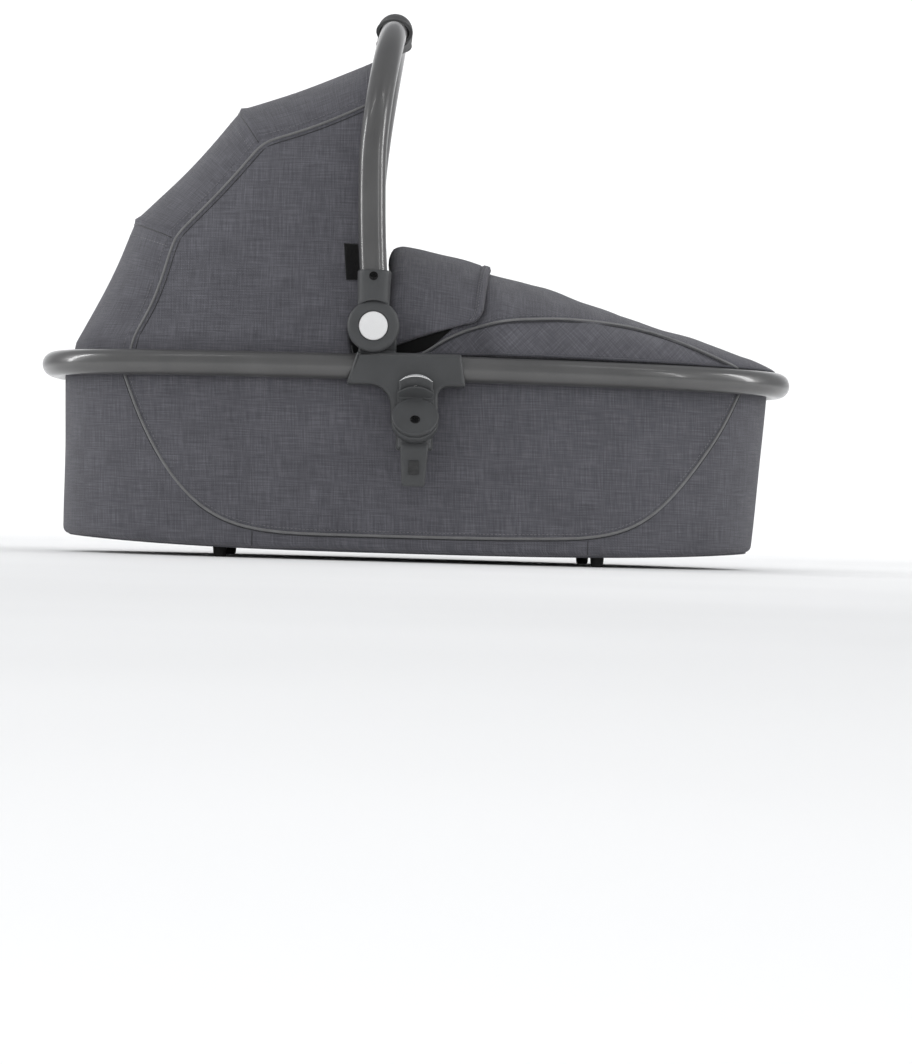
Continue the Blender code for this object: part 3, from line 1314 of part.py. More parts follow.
def make_rib(name, angle, outer):
    """Spring-steel rib: a bow with an eye at each end that swings on the pivot bolt."""
    bow = hood_bow(angle, hood_radius(angle), HOOD_HALF_WIDTH, HOOD_PIVOT_HOLE,
                   HOOD_ACROSS_STEPS)
    bow = inset_path(bow, HOOD_THICKNESS + GAP + RIB_DIAMETER / 2)
    across = outer - RIB_EYE_THICKNESS / 2
    roots = [(RIB_EYE_RADIUS * share, -across) for share in (RIB_ROOT_SHARE, RIB_STRAIGHT_SHARE)]
    line = roots + bow[1:-1] + [(r, -y) for r, y in reversed(roots)]
    rib = bar(name, [hood_place(angle, r, y) for r, y in line], RIB_DIAMETER / 2 - GAP,
              RIB_TUBE_RESOLUTION, "black_steel")
    for end, side in SIDES.items():
        join(rib, cross_rod(f"{name}_eye_{end}", side, outer - RIB_EYE_THICKNESS, outer,
                            RIB_EYE_RADIUS, BOLT_STEPS))
        cut(rib, cross_rod(f"{name}_hole_{end}", side, outer - 2 * RIB_EYE_THICKNESS,
                           outer + OVERRUN, BOLT_RADIUS + BOLT_CLEARANCE, BOLT_STEPS))


def make_tab():
    """Small bare fabric tab sewn into the hood's front seam on the left."""
    inner = HOOD_HALF_WIDTH + TAB_CLEARANCE
    x, z = HUB_X - TAB_FRONT, HUB_HEIGHT + TAB_LIFT
    box("hood_tab", (x - TAB_WIDTH, -inner, z), (x, -inner - TAB_THICKNESS, z + TAB_HEIGHT), "label")


def share_of(table, share):
    """Value of a table of shares at a share, on straight lines between its points."""
    for (x0, y0), (x1, y1) in zip(table, table[1:]):
        if share <= x1:
            return y0 + (y1 - y0) * (share - x0) / (x1 - x0)
    return table[-1][1]


def apron_inset(x):
    """How far the apron's edge lies inside the rim's centre line."""
    share = (x - APRON_BRACKET_END_X) / (APRON_RIM_START_X - APRON_BRACKET_END_X)
    share = ease(min(1.0, max(0.0, share)))
    return APRON_BRACKET_INSET + (APRON_RIM_INSET - APRON_BRACKET_INSET) * share


def apron_edge_height():
    """Height of the apron's lower edge, which rests on the flat top facet of the rim."""
    return RIM_HEIGHT + RIM_RADIUS * math.cos(math.pi / TUBE_SIDES) + GAP


def apron_crest(x):
    """Height of the apron along the middle, above its lower edge."""
    end = RIM_HALF_LENGTH - APRON_RIM_INSET
    return APRON_HEIGHT * share_of(APRON_CREST_SHARES, (x - APRON_HEAD_X) / (end - APRON_HEAD_X))


def apron_half_width(x):
    """Half the apron's width at its lower edge."""
    return rim_half_width(x, apron_inset(x))


def apron_point(x, turn, lift):
    """A point of the apron at a turn from its left edge to its right, raised by a lift."""
    wide = apron_half_width(x) + lift
    high = apron_crest(x) + lift
    power = 2 / APRON_SQUARE_SHARE
    c, s = math.cos(turn), math.sin(turn)
    return (x, -wide * math.copysign(abs(c) ** power, c), apron_edge_height() + high * s ** power)


def apron_row(places, lift, drop_share):
    """Points across the apron at given places along X, cut off above its lower edge."""
    first = math.asin((1 - drop_share) ** (APRON_SQUARE_SHARE / 2))
    steps = len(places) - 1
    row = []
    for step, x in enumerate(places):
        turn = first + (math.pi - 2 * first) * step / steps
        row.append(apron_point(x, turn, lift))
    return row


def flap_places():
    """Places along X of the flap's rows, from its lip to its free edge."""
    start = APRON_HEAD_X - GAP
    return [start + (FLAP_FRONT_X - start) * step / FLAP_ROWS for step in range(FLAP_ROWS + 1)]


def apron_places():
    """Places along X of the apron's rows: under the flap's rows, then packed towards the foot."""
    places = [APRON_HEAD_X, *flap_places()[1:], FLAP_FRONT_X + FLAP_SLANT]
    start = places[-1]
    last = RIM_HALF_LENGTH - APRON_RIM_INSET
    full = math.sin(math.pi / 2 * APRON_ROW_PACKING_SHARE)
    for step in range(1, APRON_FOOT_ROWS + 1):
        share = math.sin(math.pi / 2 * APRON_ROW_PACKING_SHARE * step / APRON_FOOT_ROWS) / full
        places.append(start + (last * APRON_FOOT_REACH_SHARE - start) * share)
    return places


def make_apron():
    """Domed fabric apron with an arched open head end."""
    rows = []
    for x in apron_places():
        rows.append(apron_row([x] * (APRON_ACROSS_STEPS + 1), 0.0, 1.0))
    apron = loft("apron", rows, "fabric", ring=False)
    flip_outward(apron, Vector((FOOT_TOE_X, 0, 0)))
    thicken(apron, APRON_THICKNESS, outward=True)
    smooth(apron)


def make_flap():
    """Wind flap with a lip before the apron's head edge, folded back over the apron."""
    start, *folded = flap_places()
    rows = []
    for lift in (0.0, FLAP_LIFT):
        rows.append(apron_row([start] * (FLAP_ACROSS_STEPS + 1), lift, FLAP_HEAD_SIDE_DROP_SHARE))
    for step, x in enumerate(folded, start=1):
        share = step / FLAP_ROWS
        drop = FLAP_HEAD_SIDE_DROP_SHARE + (
            FLAP_FOOT_SIDE_DROP_SHARE - FLAP_HEAD_SIDE_DROP_SHARE) * share
        places = []
        for across in range(FLAP_ACROSS_STEPS + 1):
            lean = math.sin(math.pi * across / FLAP_ACROSS_STEPS)
            places.append(x + FLAP_SLANT * share * lean)
        rows.append(apron_row(places, FLAP_LIFT, drop))
    flap = loft("wind_flap", rows, "fabric", ring=False)
    flip_outward(flap, Vector((FOOT_TOE_X, 0, 0)))
    thicken(flap, FLAP_THICKNESS, outward=True)
    smooth(flap)


def hang(empty_name, place, names):
    """Parent moving pieces to an empty on their joint's axis."""
    empty = bpy.data.objects.new(empty_name, None)
    empty.location = place
    parts.objects.link(empty)
    for name in names:
        child = bpy.data.objects[name]
        child.parent = empty
        child.matrix_parent_inverse = Matrix.Translation(place).inverted()


def make_joints():
    """Empties on the joint axes, with what moves about them."""
    axis = (HUB_X, 0, HUB_HEIGHT)
    handle = ["handle_tube", "handle_grip", "hood_tab"]
    for end in SIDES:
        handle += [f"handle_hub_{end}", f"collar_screw_{end}", f"hub_button_{end}",
                   f"button_spring_{end}"]
        hang(f"release_axis_{end}", (ADAPTER_X, SIDES[end] * ADAPTER_FACE, RELEASE_BOTTOM),
             [f"release_button_{end}", f"release_trim_{end}"])
        hang(f"latch_axis_{end}", (ADAPTER_X, SIDES[end] * ADAPTER_FACE, LATCH_LOW),
             [f"adapter_latch_{end}"])
    hang("handle_axis", axis, handle)
    hang("front_rib_axis", axis, ["hood_rib_front"])
    hang("rear_rib_axis", axis, ["hood_rib_rear"])
    hang("apron_axis", (APRON_HEAD_X, 0, apron_edge_height()), ["apron", "wind_flap"])


def build():
    """Make the whole carrycot."""
    make_rim()
    make_body()
    make_base()
    for end, side in SIDES.items():
        make_bracket(end, side)
        make_pivot(end, side)
        make_hub(end, side)
        make_button(end, side)
        x, z = collar_screw_place()
        screw(f"collar_screw_{end}", (x, side * (COLLAR_OUTER - SCREW_HEAD), z), (0, side, 0),
              COLLAR_SCREW_SHANK)
        make_adapter(end, side)
    make_handle()
    make_hood()
    make_rib("hood_rib_front", HOOD_FRONT_RIB_DEGREES, FRONT_RIB_OUTER)
    make_rib("hood_rib_rear", HOOD_REAR_RIB_DEGREES, REAR_RIB_OUTER)
    make_tab()
    make_apron()
    make_flap()
    make_joints()


clear_scene()
parts = new_collection("carrycot")
cutters = new_collection("cutters")
build()
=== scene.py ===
import math

import bmesh
import bpy
import numpy as np
from mathutils import Matrix, Vector
from mathutils.geometry import delaunay_2d_cdt


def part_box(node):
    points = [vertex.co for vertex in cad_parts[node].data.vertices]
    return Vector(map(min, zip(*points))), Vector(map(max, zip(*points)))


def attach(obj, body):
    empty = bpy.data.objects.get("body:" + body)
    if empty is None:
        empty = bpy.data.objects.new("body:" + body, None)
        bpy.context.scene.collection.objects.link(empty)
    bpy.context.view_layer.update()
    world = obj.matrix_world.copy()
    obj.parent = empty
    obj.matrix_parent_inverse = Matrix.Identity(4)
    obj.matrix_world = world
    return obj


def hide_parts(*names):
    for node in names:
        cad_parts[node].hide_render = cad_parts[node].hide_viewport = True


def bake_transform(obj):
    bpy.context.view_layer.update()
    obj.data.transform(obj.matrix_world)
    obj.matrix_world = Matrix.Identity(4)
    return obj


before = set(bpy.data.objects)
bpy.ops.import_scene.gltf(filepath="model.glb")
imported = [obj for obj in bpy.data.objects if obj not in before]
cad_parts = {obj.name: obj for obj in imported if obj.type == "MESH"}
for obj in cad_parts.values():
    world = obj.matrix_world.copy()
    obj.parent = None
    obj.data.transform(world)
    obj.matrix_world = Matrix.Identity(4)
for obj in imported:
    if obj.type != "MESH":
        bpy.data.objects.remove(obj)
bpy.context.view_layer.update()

SIDES = {"l": -1.0, "r": 1.0}

# Plan and rim
RIM_REACH = 0.41575
RIM_SIDE = 0.19575
RIM_Z = 0.2128
RIM_RADIUS = 0.01425
RIM_JOINT_X = -0.0145
RIM_GAP = 0.0012
RIM_STEPS = 1200
HEAD_SQUARE = 2.6
FOOT_SQUARE = 2.2

# Body
WALL_REACH = 0.40375
WALL_SIDE = 0.18375
WALL_TOP = 0.2035
WALL_LEAN = {"head": 0.003, "foot": 0.0125, "side": 0.008}
BODY_CORNER = 0.007
BODY_HEM = 0.018
BODY_COLUMNS = 360
WALL_ROWS = 46
CORNER_ROWS = 7
CLOTH = 0.0022

# Hub and handle
HUB_X = -0.052
HUB_Z = 0.2563
COLLAR_X = -0.0524
COLLAR_TOP = 0.3170
COLLAR_SCREW_Y = 0.2254
HANDLE_SPAN = 0.207
HANDLE_RADIUS = 0.015
HANDLE_TOP = 0.6075
HANDLE_SPRING = 0.400
HANDLE_RISE = HANDLE_TOP - HANDLE_SPRING
GRIP_RADIUS = 0.020
GRIP_HALF = 0.052
GRIP_SIDES = 48
GRIP_LEAN = math.radians(40.0)

# Adapter
ADAPTER_X = -0.0040
DRUM_CENTRE_Y = 0.2358
DRUM_CENTRE_Z = 0.1598
DRUM_TILT = math.radians(37.0)
SCREW_DROP = 0.0055
SCREW_RADIUS = 0.0047
PLATE_HALF = 0.0200
PLATE_FACE_Y = 0.2196
PLUG_Y = 0.2282
CRESCENT_Y = 0.2266

# Hood
HOOD_STATIONS = ((0.0, 0.3145), (32.0, 0.2975), (66.0, 0.2990), (93.0, 0.3405))
RIB_ANGLES = tuple(angle for angle, reach in HOOD_STATIONS[1:3])
HOOD_END = HOOD_STATIONS[3][0]
RIB_DRAW = 0.0215
RIB_EYE = (
    (0.0, -0.0011), (0.0098, -0.0011), (0.0106, -0.0007), (0.0108, 0.0), (0.0106, 0.0007),
    (0.0098, 0.0011), (0.0, 0.0011),
)
HOOD_HALF_WIDTH = 0.178
HOOD_SQUARE = 3.2
HOOD_SAG = 0.003
HOOD_START = 0.0272
HOOD_INSET = 0.01775
HOOD_BOTTOM = 0.2068
HOOD_COLUMNS = 160
HOOD_CORNER_X = -0.0705

# Apron and flap
APRON_HEAD_X = -0.033
APRON_END_X = 0.41075
APRON_EDGE_Z = 0.22665
APRON_HIGH = 0.124
APRON_SQUARE = 2.5
APRON_CLOTH = 0.0025
APRON_COLUMNS = 111
APRON_FOOT_X = 0.30
APRON_FOOT_REACH = 0.1087
APRON_CREST = (
    (0.0, 1.0), (0.10, 0.960), (0.20, 0.895), (0.26, 0.835), (0.345, 0.760), (0.405, 0.706),
    (0.51, 0.570), (0.617, 0.443), (0.80, 0.253), (0.92, 0.110), (1.0, 0.012),
)
FLAP_LIFT = 0.0065
FLAP_LIP_X = -0.0262
FLAP_LIP_RADIUS = 0.0072
FLAP_COLUMNS = 131

# Sewing
STITCH_LENGTH = 0.0030
STITCH_GAP = 0.0014
STITCH_RADIUS = 0.00035
SEAM_RADIUS = 0.0006
WELD_DISTANCE = 0.00005
LINER_CHANNELS = 26
QUILT_PITCH = 0.11

# Studio: where the floor starts to curve up behind the object, and the curve's radius
FLOOR_END = 5.2
SWEEP = 1.6
SURROUND = (0.95, 0.97, 1.0, 1.0)
SURROUND_STRENGTH = 0.42
LIGHT_AIM = (0.0, 0.0, 0.25)
# each light's name, place, target, size and power, and whether gloss shows it
LIGHTS = (
    ("top_light", (0.1, -0.3, 3.0), LIGHT_AIM, (5.0, 4.0), 30.0, False),
    ("left_edge_strip", (-2.2, 0.15, 1.0), LIGHT_AIM, (0.22, 1.5), 14.0, True),
    ("right_strip", (1.95, -1.55, 1.1), LIGHT_AIM, (0.10, 1.3), 4.0, True),
    ("right_edge_strip", (2.2, -0.20, 1.0), LIGHT_AIM, (0.24, 1.5), 14.0, True),
    ("row_light_0", (-1.3, -0.95, 2.5), (-1.3, 0.0, 0.2), (1.10, 0.06), 1.8, True),
    ("row_light_1", (1.3, -0.95, 2.5), (1.3, 0.0, 0.2), (1.10, 0.06), 1.8, True),
    ("front_fill", (-0.3, -4.4, 1.0), LIGHT_AIM, (4.0, 2.0), 58.0, False),
    ("left_fill", (-2.8, -2.6, 0.9), LIGHT_AIM, (2.0, 1.8), 20.0, False),
    ("backdrop_light", (0.0, 3.4, 4.4), (0.0, 6.4, 0.8), (5.0, 1.0), 190.0, False),
    ("back_fill", (0.4, 4.2, 2.6), LIGHT_AIM, (3.6, 1.6), 18.0, False),
)

# Camera: its turns in radians, its place, and the focal length in pixels of the frame's height
CAMERA_YAW = -0.02616137
CAMERA_PITCH = -0.00502583
CAMERA_ROLL = 0.02893094
CAMERA_PLACE = (-0.04433578, -3.6, 0.05231316)
FOCAL_PIXELS = 3114.0
FRAME_PIXELS = 1064.0
SENSOR = 36.0
FARTHEST = 60.0


# Materials

class Finish:
    """A material being built: its Principled shader, and nodes on one set of coordinates."""

    def __init__(self, name, coordinates, roughness, metallic=0.0):
        self.material = bpy.data.materials.new(name)
        self.material.use_nodes = True
        self.tree = self.material.node_tree
        self.shader = next(n for n in self.tree.nodes if n.type == "BSDF_PRINCIPLED")
        self.give(self.shader, {"Roughness": roughness, "Metallic": metallic})
        self.place = self.node("ShaderNodeTexCoord").outputs[coordinates]

    def give(self, node, inputs):
        """Link the inputs that get a socket, and set those that get a number or a colour."""
        for key, value in inputs.items():
            if isinstance(value, bpy.types.NodeSocket):
                self.tree.links.new(value, node.inputs[key])
            elif value is not None:
                node.inputs[key].default_value = value

    def node(self, kind, inputs=None, **properties):
        """A node with some of its properties and inputs given."""
        made = self.tree.nodes.new(kind)
        for key, value in properties.items():
            setattr(made, key, value)
        self.give(made, inputs or {})
        return made

    def noise(self, scale, detail=2.0, rough=0.5, stretch=None):
        """Noise on the coordinates, which may be stretched along each axis first."""
        place = self.place
        if stretch:
            mapping = self.node("ShaderNodeMapping", {"Scale": stretch, "Vector": place})
            place = mapping.outputs["Vector"]
        inputs = {"Scale": scale, "Detail": detail, "Roughness": rough, "Vector": place}
        return self.node("ShaderNodeTexNoise", inputs).outputs["Fac"]

    def maths(self, operation, first, second=None, clamp=False):
        """One arithmetic step, on sockets or numbers."""
        inputs = {0: first, 1: second}
        return self.node("ShaderNodeMath", inputs, operation=operation, use_clamp=clamp).outputs[0]

    def mixed(self, first, share, second):
        """One value by its share and another by what is left of 1, added up."""
        first = self.maths("MULTIPLY", first, share)
        return self.maths("ADD", first, self.maths("MULTIPLY", second, 1 - share))

    def wave(self, axis, turn):
        """A sine wave along one of the coordinates."""
        split = self.node("ShaderNodeSeparateXYZ", {0: self.place})
        return self.maths("SINE", self.maths("MULTIPLY", split.outputs[axis], turn))

    def colour(self, value, *stops):
        """Base colour that follows a value, by (value, colour) stops."""
        made = self.node("ShaderNodeValToRGB", {"Fac": value})
        elements = made.color_ramp.elements
        while len(elements) > 1:
            elements.remove(elements[-1])
        for index, (place, colour) in enumerate(stops):
            stop = elements[0] if index == 0 else elements.new(place)
            stop.position = place
            stop.color = (*colour, 1.0)
        self.give(self.shader, {"Base Color": made.outputs["Color"]})

    def roughness(self, value, low, high):
        """Roughness that follows a 0 to 1 value over a range."""
        made = self.node("ShaderNodeMapRange", {"To Min": low, "To Max": high, "Value": value})
        self.give(self.shader, {"Roughness": made.outputs["Result"]})

    def relief(self, height, distance):
        """Surface relief from a height value."""
        made = self.node("ShaderNodeBump", {"Distance": distance, "Strength": 1.0, "Height": height})
        self.give(self.shader, {"Normal": made.outputs["Normal"]})


def woven(name, dark, middle, light, pitch, slub=1.0, sheen=0.15, relief=0.00035):
    """Plain woven cloth with thick and thin threads, on coordinates in metres."""
    made = Finish(name, "UV", 0.9)
    maths = made.maths
    warp = made.noise(1.0, 2.0, 0.6, (640.0, 34.0, 1.0))
    weft = made.noise(1.0, 2.0, 0.6, (30.0, 700.0, 1.0))
    patch = made.noise(26.0, 3.0, 0.55)
    threads = maths("MULTIPLY", maths("ADD", warp, weft), 0.5)
    threads = maths("MULTIPLY", maths("SUBTRACT", threads, 0.5), 1.9 * slub)
    cloud = maths("MULTIPLY", maths("SUBTRACT", patch, 0.5), 0.32)
    value = maths("ADD", maths("ADD", threads, cloud), 0.5, clamp=True)
    turn = math.pi / pitch
    weave = maths("MULTIPLY", made.wave("X", turn), made.wave("Y", turn))
    value = maths("ADD", value, maths("MULTIPLY", weave, 0.07), clamp=True)
    made.colour(value, (0.12, dark), (0.5, middle), (0.9, light))
    made.roughness(warp, 0.82, 0.97)
    made.give(made.shader, {"Sheen Weight": sheen, "Sheen Roughness": 0.45, "Specular IOR Level": 0.25})
    fuzz = made.noise(2600.0, 1.0)
    height = maths("ADD", maths("MULTIPLY", weave, 0.45), threads)
    made.relief(maths("ADD", height, maths("MULTIPLY", fuzz, 0.35)), relief)
    return made.material


def knitted(name, dark, light, pitch):
    """Soft jersey with fine upright ribs, on coordinates in metres."""
    made = Finish(name, "UV", 0.95)
    ribs = made.wave("X", 2 * math.pi / pitch)
    stitch = made.wave("Y", 4 * math.pi / pitch)
    loops = made.maths("MULTIPLY", ribs, made.maths("ADD", stitch, 1.6))
    soft = made.noise(60.0, 4.0)
    value = made.maths("ADD", made.maths("MULTIPLY", loops, 0.05), soft, clamp=True)
    made.colour(value, (0.3, dark), (0.7, light))
    made.roughness(soft, 0.88, 0.99)
    made.give(made.shader, {"Sheen Weight": 0.25, "Sheen Roughness": 0.5})
    made.relief(made.maths("ADD", loops, made.noise(1800.0, 2.0)), 0.0003)
    return made.material


def satin_cord(name, dark, light):
    """Covered piping cord with a fine slanted weave."""
    made = Finish(name, "UV", 0.55)
    twist = made.noise(1.0, 1.0, stretch=(900.0, 2400.0, 1.0))
    soft = made.noise(90.0, 2.0)
    made.colour(made.mixed(twist, 0.6, soft), (0.3, dark), (0.7, light))
    made.roughness(twist, 0.5, 0.7)
    made.give(made.shader, {"Sheen Weight": 0.2})
    made.relief(twist, 0.00012)
    return made.material


def moulded(name, dark, light, roughness, grain, relief, specular=0.5):
    """Moulded plastic or rubber with a fine spark-eroded grain."""
    made = Finish(name, "Object", roughness)
    fine = made.noise(grain, 2.0, 0.6)
    soft = made.noise(38.0, 3.0)
    made.colour(made.mixed(fine, 0.5, soft), (0.35, dark), (0.65, light))
    made.roughness(soft, roughness - 0.06, roughness + 0.07)
    made.give(made.shader, {"Specular IOR Level": specular})
    made.relief(fine, relief)
    return made.material


def lacquered(name, dark, light, metallic, roughness, coat):
    """Metallic lacquer on a drawn tube: faint flake, orange peel and a clear coat."""
    made = Finish(name, "Object", roughness, metallic)
    flake = made.noise(2600.0, 1.0)
    soft = made.noise(24.0, 3.0)
    made.colour(made.mixed(flake, 0.55, soft), (0.32, dark), (0.68, light))
    made.roughness(soft, roughness - 0.03, roughness + 0.03)
    made.give(made.shader, {"Coat Weight": coat, "Coat Roughness": 0.10})
    made.relief(made.noise(260.0, 1.0), 0.00002)
    return made.material


def metal(name, dark, light, roughness):
    """Bright or blackened metal with fine brushing marks."""
    made = Finish(name, "Object", roughness, 1.0)
    lines = made.noise(1.0, 2.0, stretch=(60.0, 60.0, 900.0))
    soft = made.noise(140.0, 2.0)
    made.colour(made.mixed(lines, 0.6, soft), (0.3, dark), (0.7, light))
    made.roughness(soft, roughness - 0.04, roughness + 0.08)
    made.relief(lines, 0.00002)
    return made.material


def fibreboard(name):
    """Pressed board with short fibres."""
    made = Finish(name, "Object", 0.8)
    fibres = made.noise(1.0, 4.0, 0.7, (900.0, 260.0, 900.0))
    soft = made.noise(20.0, 3.0)
    brown = ((0.3, (0.20, 0.13, 0.075)), (0.5, (0.33, 0.22, 0.13)), (0.75, (0.42, 0.30, 0.19)))
    made.colour(made.mixed(fibres, 0.6, soft), *brown)
    made.roughness(fibres, 0.7, 0.9)
    made.relief(fibres, 0.0002)
    return made.material


def grey(value, warm=0.0):
    """A grey with a slight tint: bluish below zero, warm above."""
    return (value * (1 + warm), value, value * (1 - warm))


FABRIC = woven("linen_weave", (0.056, 0.055, 0.063), (0.091, 0.090, 0.102), (0.150, 0.149, 0.168),
               0.0009, 0.85)
# near-black cloth for the painted shadow under the wind flap's lower edge
SHADOW_BAND_CLOTH = woven("painted_shadow_black", grey(0.004), grey(0.007), grey(0.012), 0.0006, 0.5, 0.05, 0.0002)
LABEL = woven("black_ribbon", grey(0.004), grey(0.007), grey(0.013), 0.0005, 0.5, 0.1, 0.0002)
HEM = woven("bound_edge", (0.040, 0.040, 0.046), (0.066, 0.066, 0.076), (0.10, 0.10, 0.115), 0.0007)
LINING = knitted("padded_jersey", (0.030, 0.030, 0.034), (0.060, 0.060, 0.066), 0.0016)
TICKING = knitted("mattress_jersey", (0.52, 0.51, 0.48), (0.68, 0.67, 0.64), 0.0020)
PIPING = satin_cord("piping_cord", (0.098, 0.098, 0.100), (0.170, 0.170, 0.172))
THREAD = satin_cord("sewing_thread", (0.10, 0.10, 0.11), (0.18, 0.18, 0.19))
SEAM = satin_cord("seam_shadow", (0.014, 0.014, 0.016), (0.030, 0.030, 0.034))
TUBE = lacquered("graphite_lacquer", (0.078, 0.077, 0.077), (0.110, 0.109, 0.108), 0.35, 0.30, 0.50)
PLASTIC = moulded("dark_plastic", grey(0.043, -0.03), grey(0.058, -0.03), 0.50, 2400.0, 0.00006)
SOFT_GRIP = moulded("soft_touch", grey(0.046, -0.01), grey(0.062, -0.01), 0.62, 1500.0, 0.00010)
TRAY = moulded("tray_plastic", grey(0.020), grey(0.032), 0.55, 900.0, 0.00012)
BUTTON = moulded("pale_plastic", grey(0.64), grey(0.72), 0.36, 1800.0, 0.00003)
RUBBER = moulded("black_rubber", grey(0.010), grey(0.020), 0.75, 1300.0, 0.00012, specular=0.3)
CHROME = metal("bright_trim", grey(0.78), grey(0.90), 0.14)
STEEL = metal("zinc_steel", grey(0.42, 0.02), grey(0.60, 0.02), 0.32)
BLACK_STEEL = metal("blackened_steel", grey(0.016), grey(0.030), 0.20)
DARK_STEEL = metal("dark_zinc", grey(0.06), grey(0.10), 0.42)
BOARD = fibreboard("base_fibreboard")


# Mesh building

def new_piece(name, points, faces, finish, uvs=None, smooth=True):
    """A mesh object; uvs holds one pair for each corner of each face, in order."""
    mesh = bpy.data.meshes.new(name)
    mesh.from_pydata([tuple(map(float, p)) for p in points], [], faces)
    mesh.update()
    if smooth:
        mesh.shade_smooth()
    mesh.materials.append(finish)
    if uvs is not None:
        layer = mesh.uv_layers.new(name="metres")
        layer.data.foreach_set("uv", np.asarray(uvs, dtype=np.float32).ravel())
    made = bpy.data.objects.new(name, mesh)
    bpy.context.scene.collection.objects.link(made)
    return made


def ride_and_slot(piece, body, node=None):
    """Let a piece move with a body, and hide the node that it replaces."""
    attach(piece, body)
    if node:
        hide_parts(node)


def ring_faces(rings, around, start=0, closed=False):
    """Faces between rings of points that follow one another, from a point's number on."""
    faces = []
    for i in range(rings if closed else rings - 1):
        low = start + i * around
        high = start + (i + 1) % rings * around
        for j in range(around):
            k = (j + 1) % around
            faces.append([low + j, low + k, high + k, high + j])
    return faces


def stack(name, rings, finish):
    """A solid over rings of points that follow one another, with a flat cap at each end."""
    around = len(rings[0])
    last = (len(rings) - 1) * around
    faces = [list(range(around))] + ring_faces(len(rings), around)
    faces.append(list(range(last, last + around)))
    return outward(new_piece(name, np.asarray(rings).reshape(-1, 3), faces, finish))


def distances(path):
    """How far along a path each of its points lies."""
    steps = np.linalg.norm(np.diff(path, axis=0), axis=1)
    return np.concatenate(([0.0], np.cumsum(steps)))


def resample(path, count):
    """A path with evenly spaced points."""
    path = np.asarray(path, float)
    along = distances(path)
    places = np.linspace(0.0, along[-1], count)
    return np.stack([np.interp(places, along, path[:, k]) for k in range(path.shape[1])], axis=1)


def smoothed(path, passes):
    """An open path with its inner points averaged."""
    path = np.array(path, float)
    for _ in range(passes):
        path[1:-1] = (path[:-2] + 2 * path[1:-1] + path[2:]) / 4
    return path


def unit(vectors):
    """Vectors of length one."""
    length = np.linalg.norm(vectors, axis=-1, keepdims=True)
    return vectors / np.maximum(length, 1e-12)


def grid_normals(points, wrap):
    """Directions square to a grid of points, by rows and columns."""
    along = np.gradient(points, axis=0)
    if wrap:
        across = (np.roll(points, -1, axis=1) - np.roll(points, 1, axis=1)) / 2
    else:
        across = np.gradient(points, axis=1)
    normals = np.cross(along, across)
    weak = np.linalg.norm(normals, axis=-1) < 1e-14
    normals = unit(normals)
    if weak.any():
        filled = unit(normals.sum(axis=(0, 1)))
        normals[weak] = filled
    return normals


def grid_metres(points, wrap):
    """Coordinates in metres over a grid: along each row and down each column."""
    if wrap:
        points = np.concatenate((points, points[:, :1]), axis=1)
    across = np.linalg.norm(np.diff(points, axis=1), axis=2)
    across = np.concatenate((np.zeros((len(points), 1)), np.cumsum(across, axis=1)), axis=1)
    across -= across[:, -1:] / 2
    down = np.linalg.norm(np.diff(points, axis=0), axis=2)
    down = np.concatenate((np.zeros((1, points.shape[1])), np.cumsum(down, axis=0)), axis=0)
    return np.stack((across, down), axis=2)


def facing_out(points, inside, wrap=False):
    """The grid with its columns turned so that its normals look away from a point."""
    normals = grid_normals(points, wrap)
    facing = ((points - np.asarray(inside)) * normals).sum()
    return points if facing > 0 else points[:, ::-1]


def edge_profile(metres, wrap, edge):
    """Rounded thickness share near a sheet's edges, from 0 at the edge to 1 inside."""
    across, down = metres[..., 0], metres[..., 1]
    near = np.minimum(down - down[:1], down[-1:] - down)
    if not wrap:
        near = np.minimum(near, np.minimum(across - across[:, :1], across[:, -1:] - across))
    near = np.clip(near / edge, 0.0, 1.0)
    profile = np.sqrt(1 - (1 - near) ** 2)
    return profile[:, :-1] if wrap else profile


def cloth(name, points, finish, outer, inner=0.0, edge=0.002, wrap=False, relief=None, marks=None,
          panel=None, panel_marks=None):
    """A closed sheet of cloth over a grid: an outer and an inner face that meet at its edges.

    outer and inner are how far the faces stand from the grid, and relief is added to the outer
    one. marks are the weave's coordinates; the cells of a panel take panel_marks instead.
    """
    rows, columns = points.shape[:2]
    metres = grid_metres(points, wrap)
    if marks is None:
        marks = metres
    normals = grid_normals(points, wrap)
    profile = edge_profile(metres, wrap, edge)
    lift = outer * profile
    if relief is not None:
        lift = lift + relief * profile
    top = points + normals * lift[..., None]
    bottom = points - normals * (inner * profile)[..., None]
    vertices = np.concatenate((top.reshape(-1, 3), bottom.reshape(-1, 3)))
    count = rows * columns
    below = np.arange(count, 2 * count).reshape(rows, columns)
    above = np.arange(count).reshape(rows, columns)
    below[0], below[-1] = above[0], above[-1]
    if not wrap:
        below[:, 0], below[:, -1] = above[:, 0], above[:, -1]
    faces = []
    uvs = []
    cells = columns if wrap else columns - 1
    for i in range(rows - 1):
        for j in range(cells):
            k = (j + 1) % columns
            corners = ((i, j), (i + 1, j), (i + 1, k), (i, k))
            source = panel_marks if panel is not None and panel[i, j] else marks
            here = [source[i, j], source[i + 1, j], source[i + 1, j + 1], source[i, j + 1]]
            faces.append([int(above[c]) for c in corners])
            uvs.extend(here)
            under = [int(below[c]) for c in reversed(corners)]
            if len(set(under) & set(faces[-1])) < 4:
                faces.append(under)
                uvs.extend(reversed(here))
    piece = new_piece(name, vertices, faces, finish, uvs)
    drop_loose(piece)
    return piece, top, normals


def edit_mesh(piece, change):
    """Change a piece's mesh with a function that gets its editable shape."""
    shape = bmesh.new()
    shape.from_mesh(piece.data)
    change(shape)
    shape.to_mesh(piece.data)
    shape.free()
    return piece


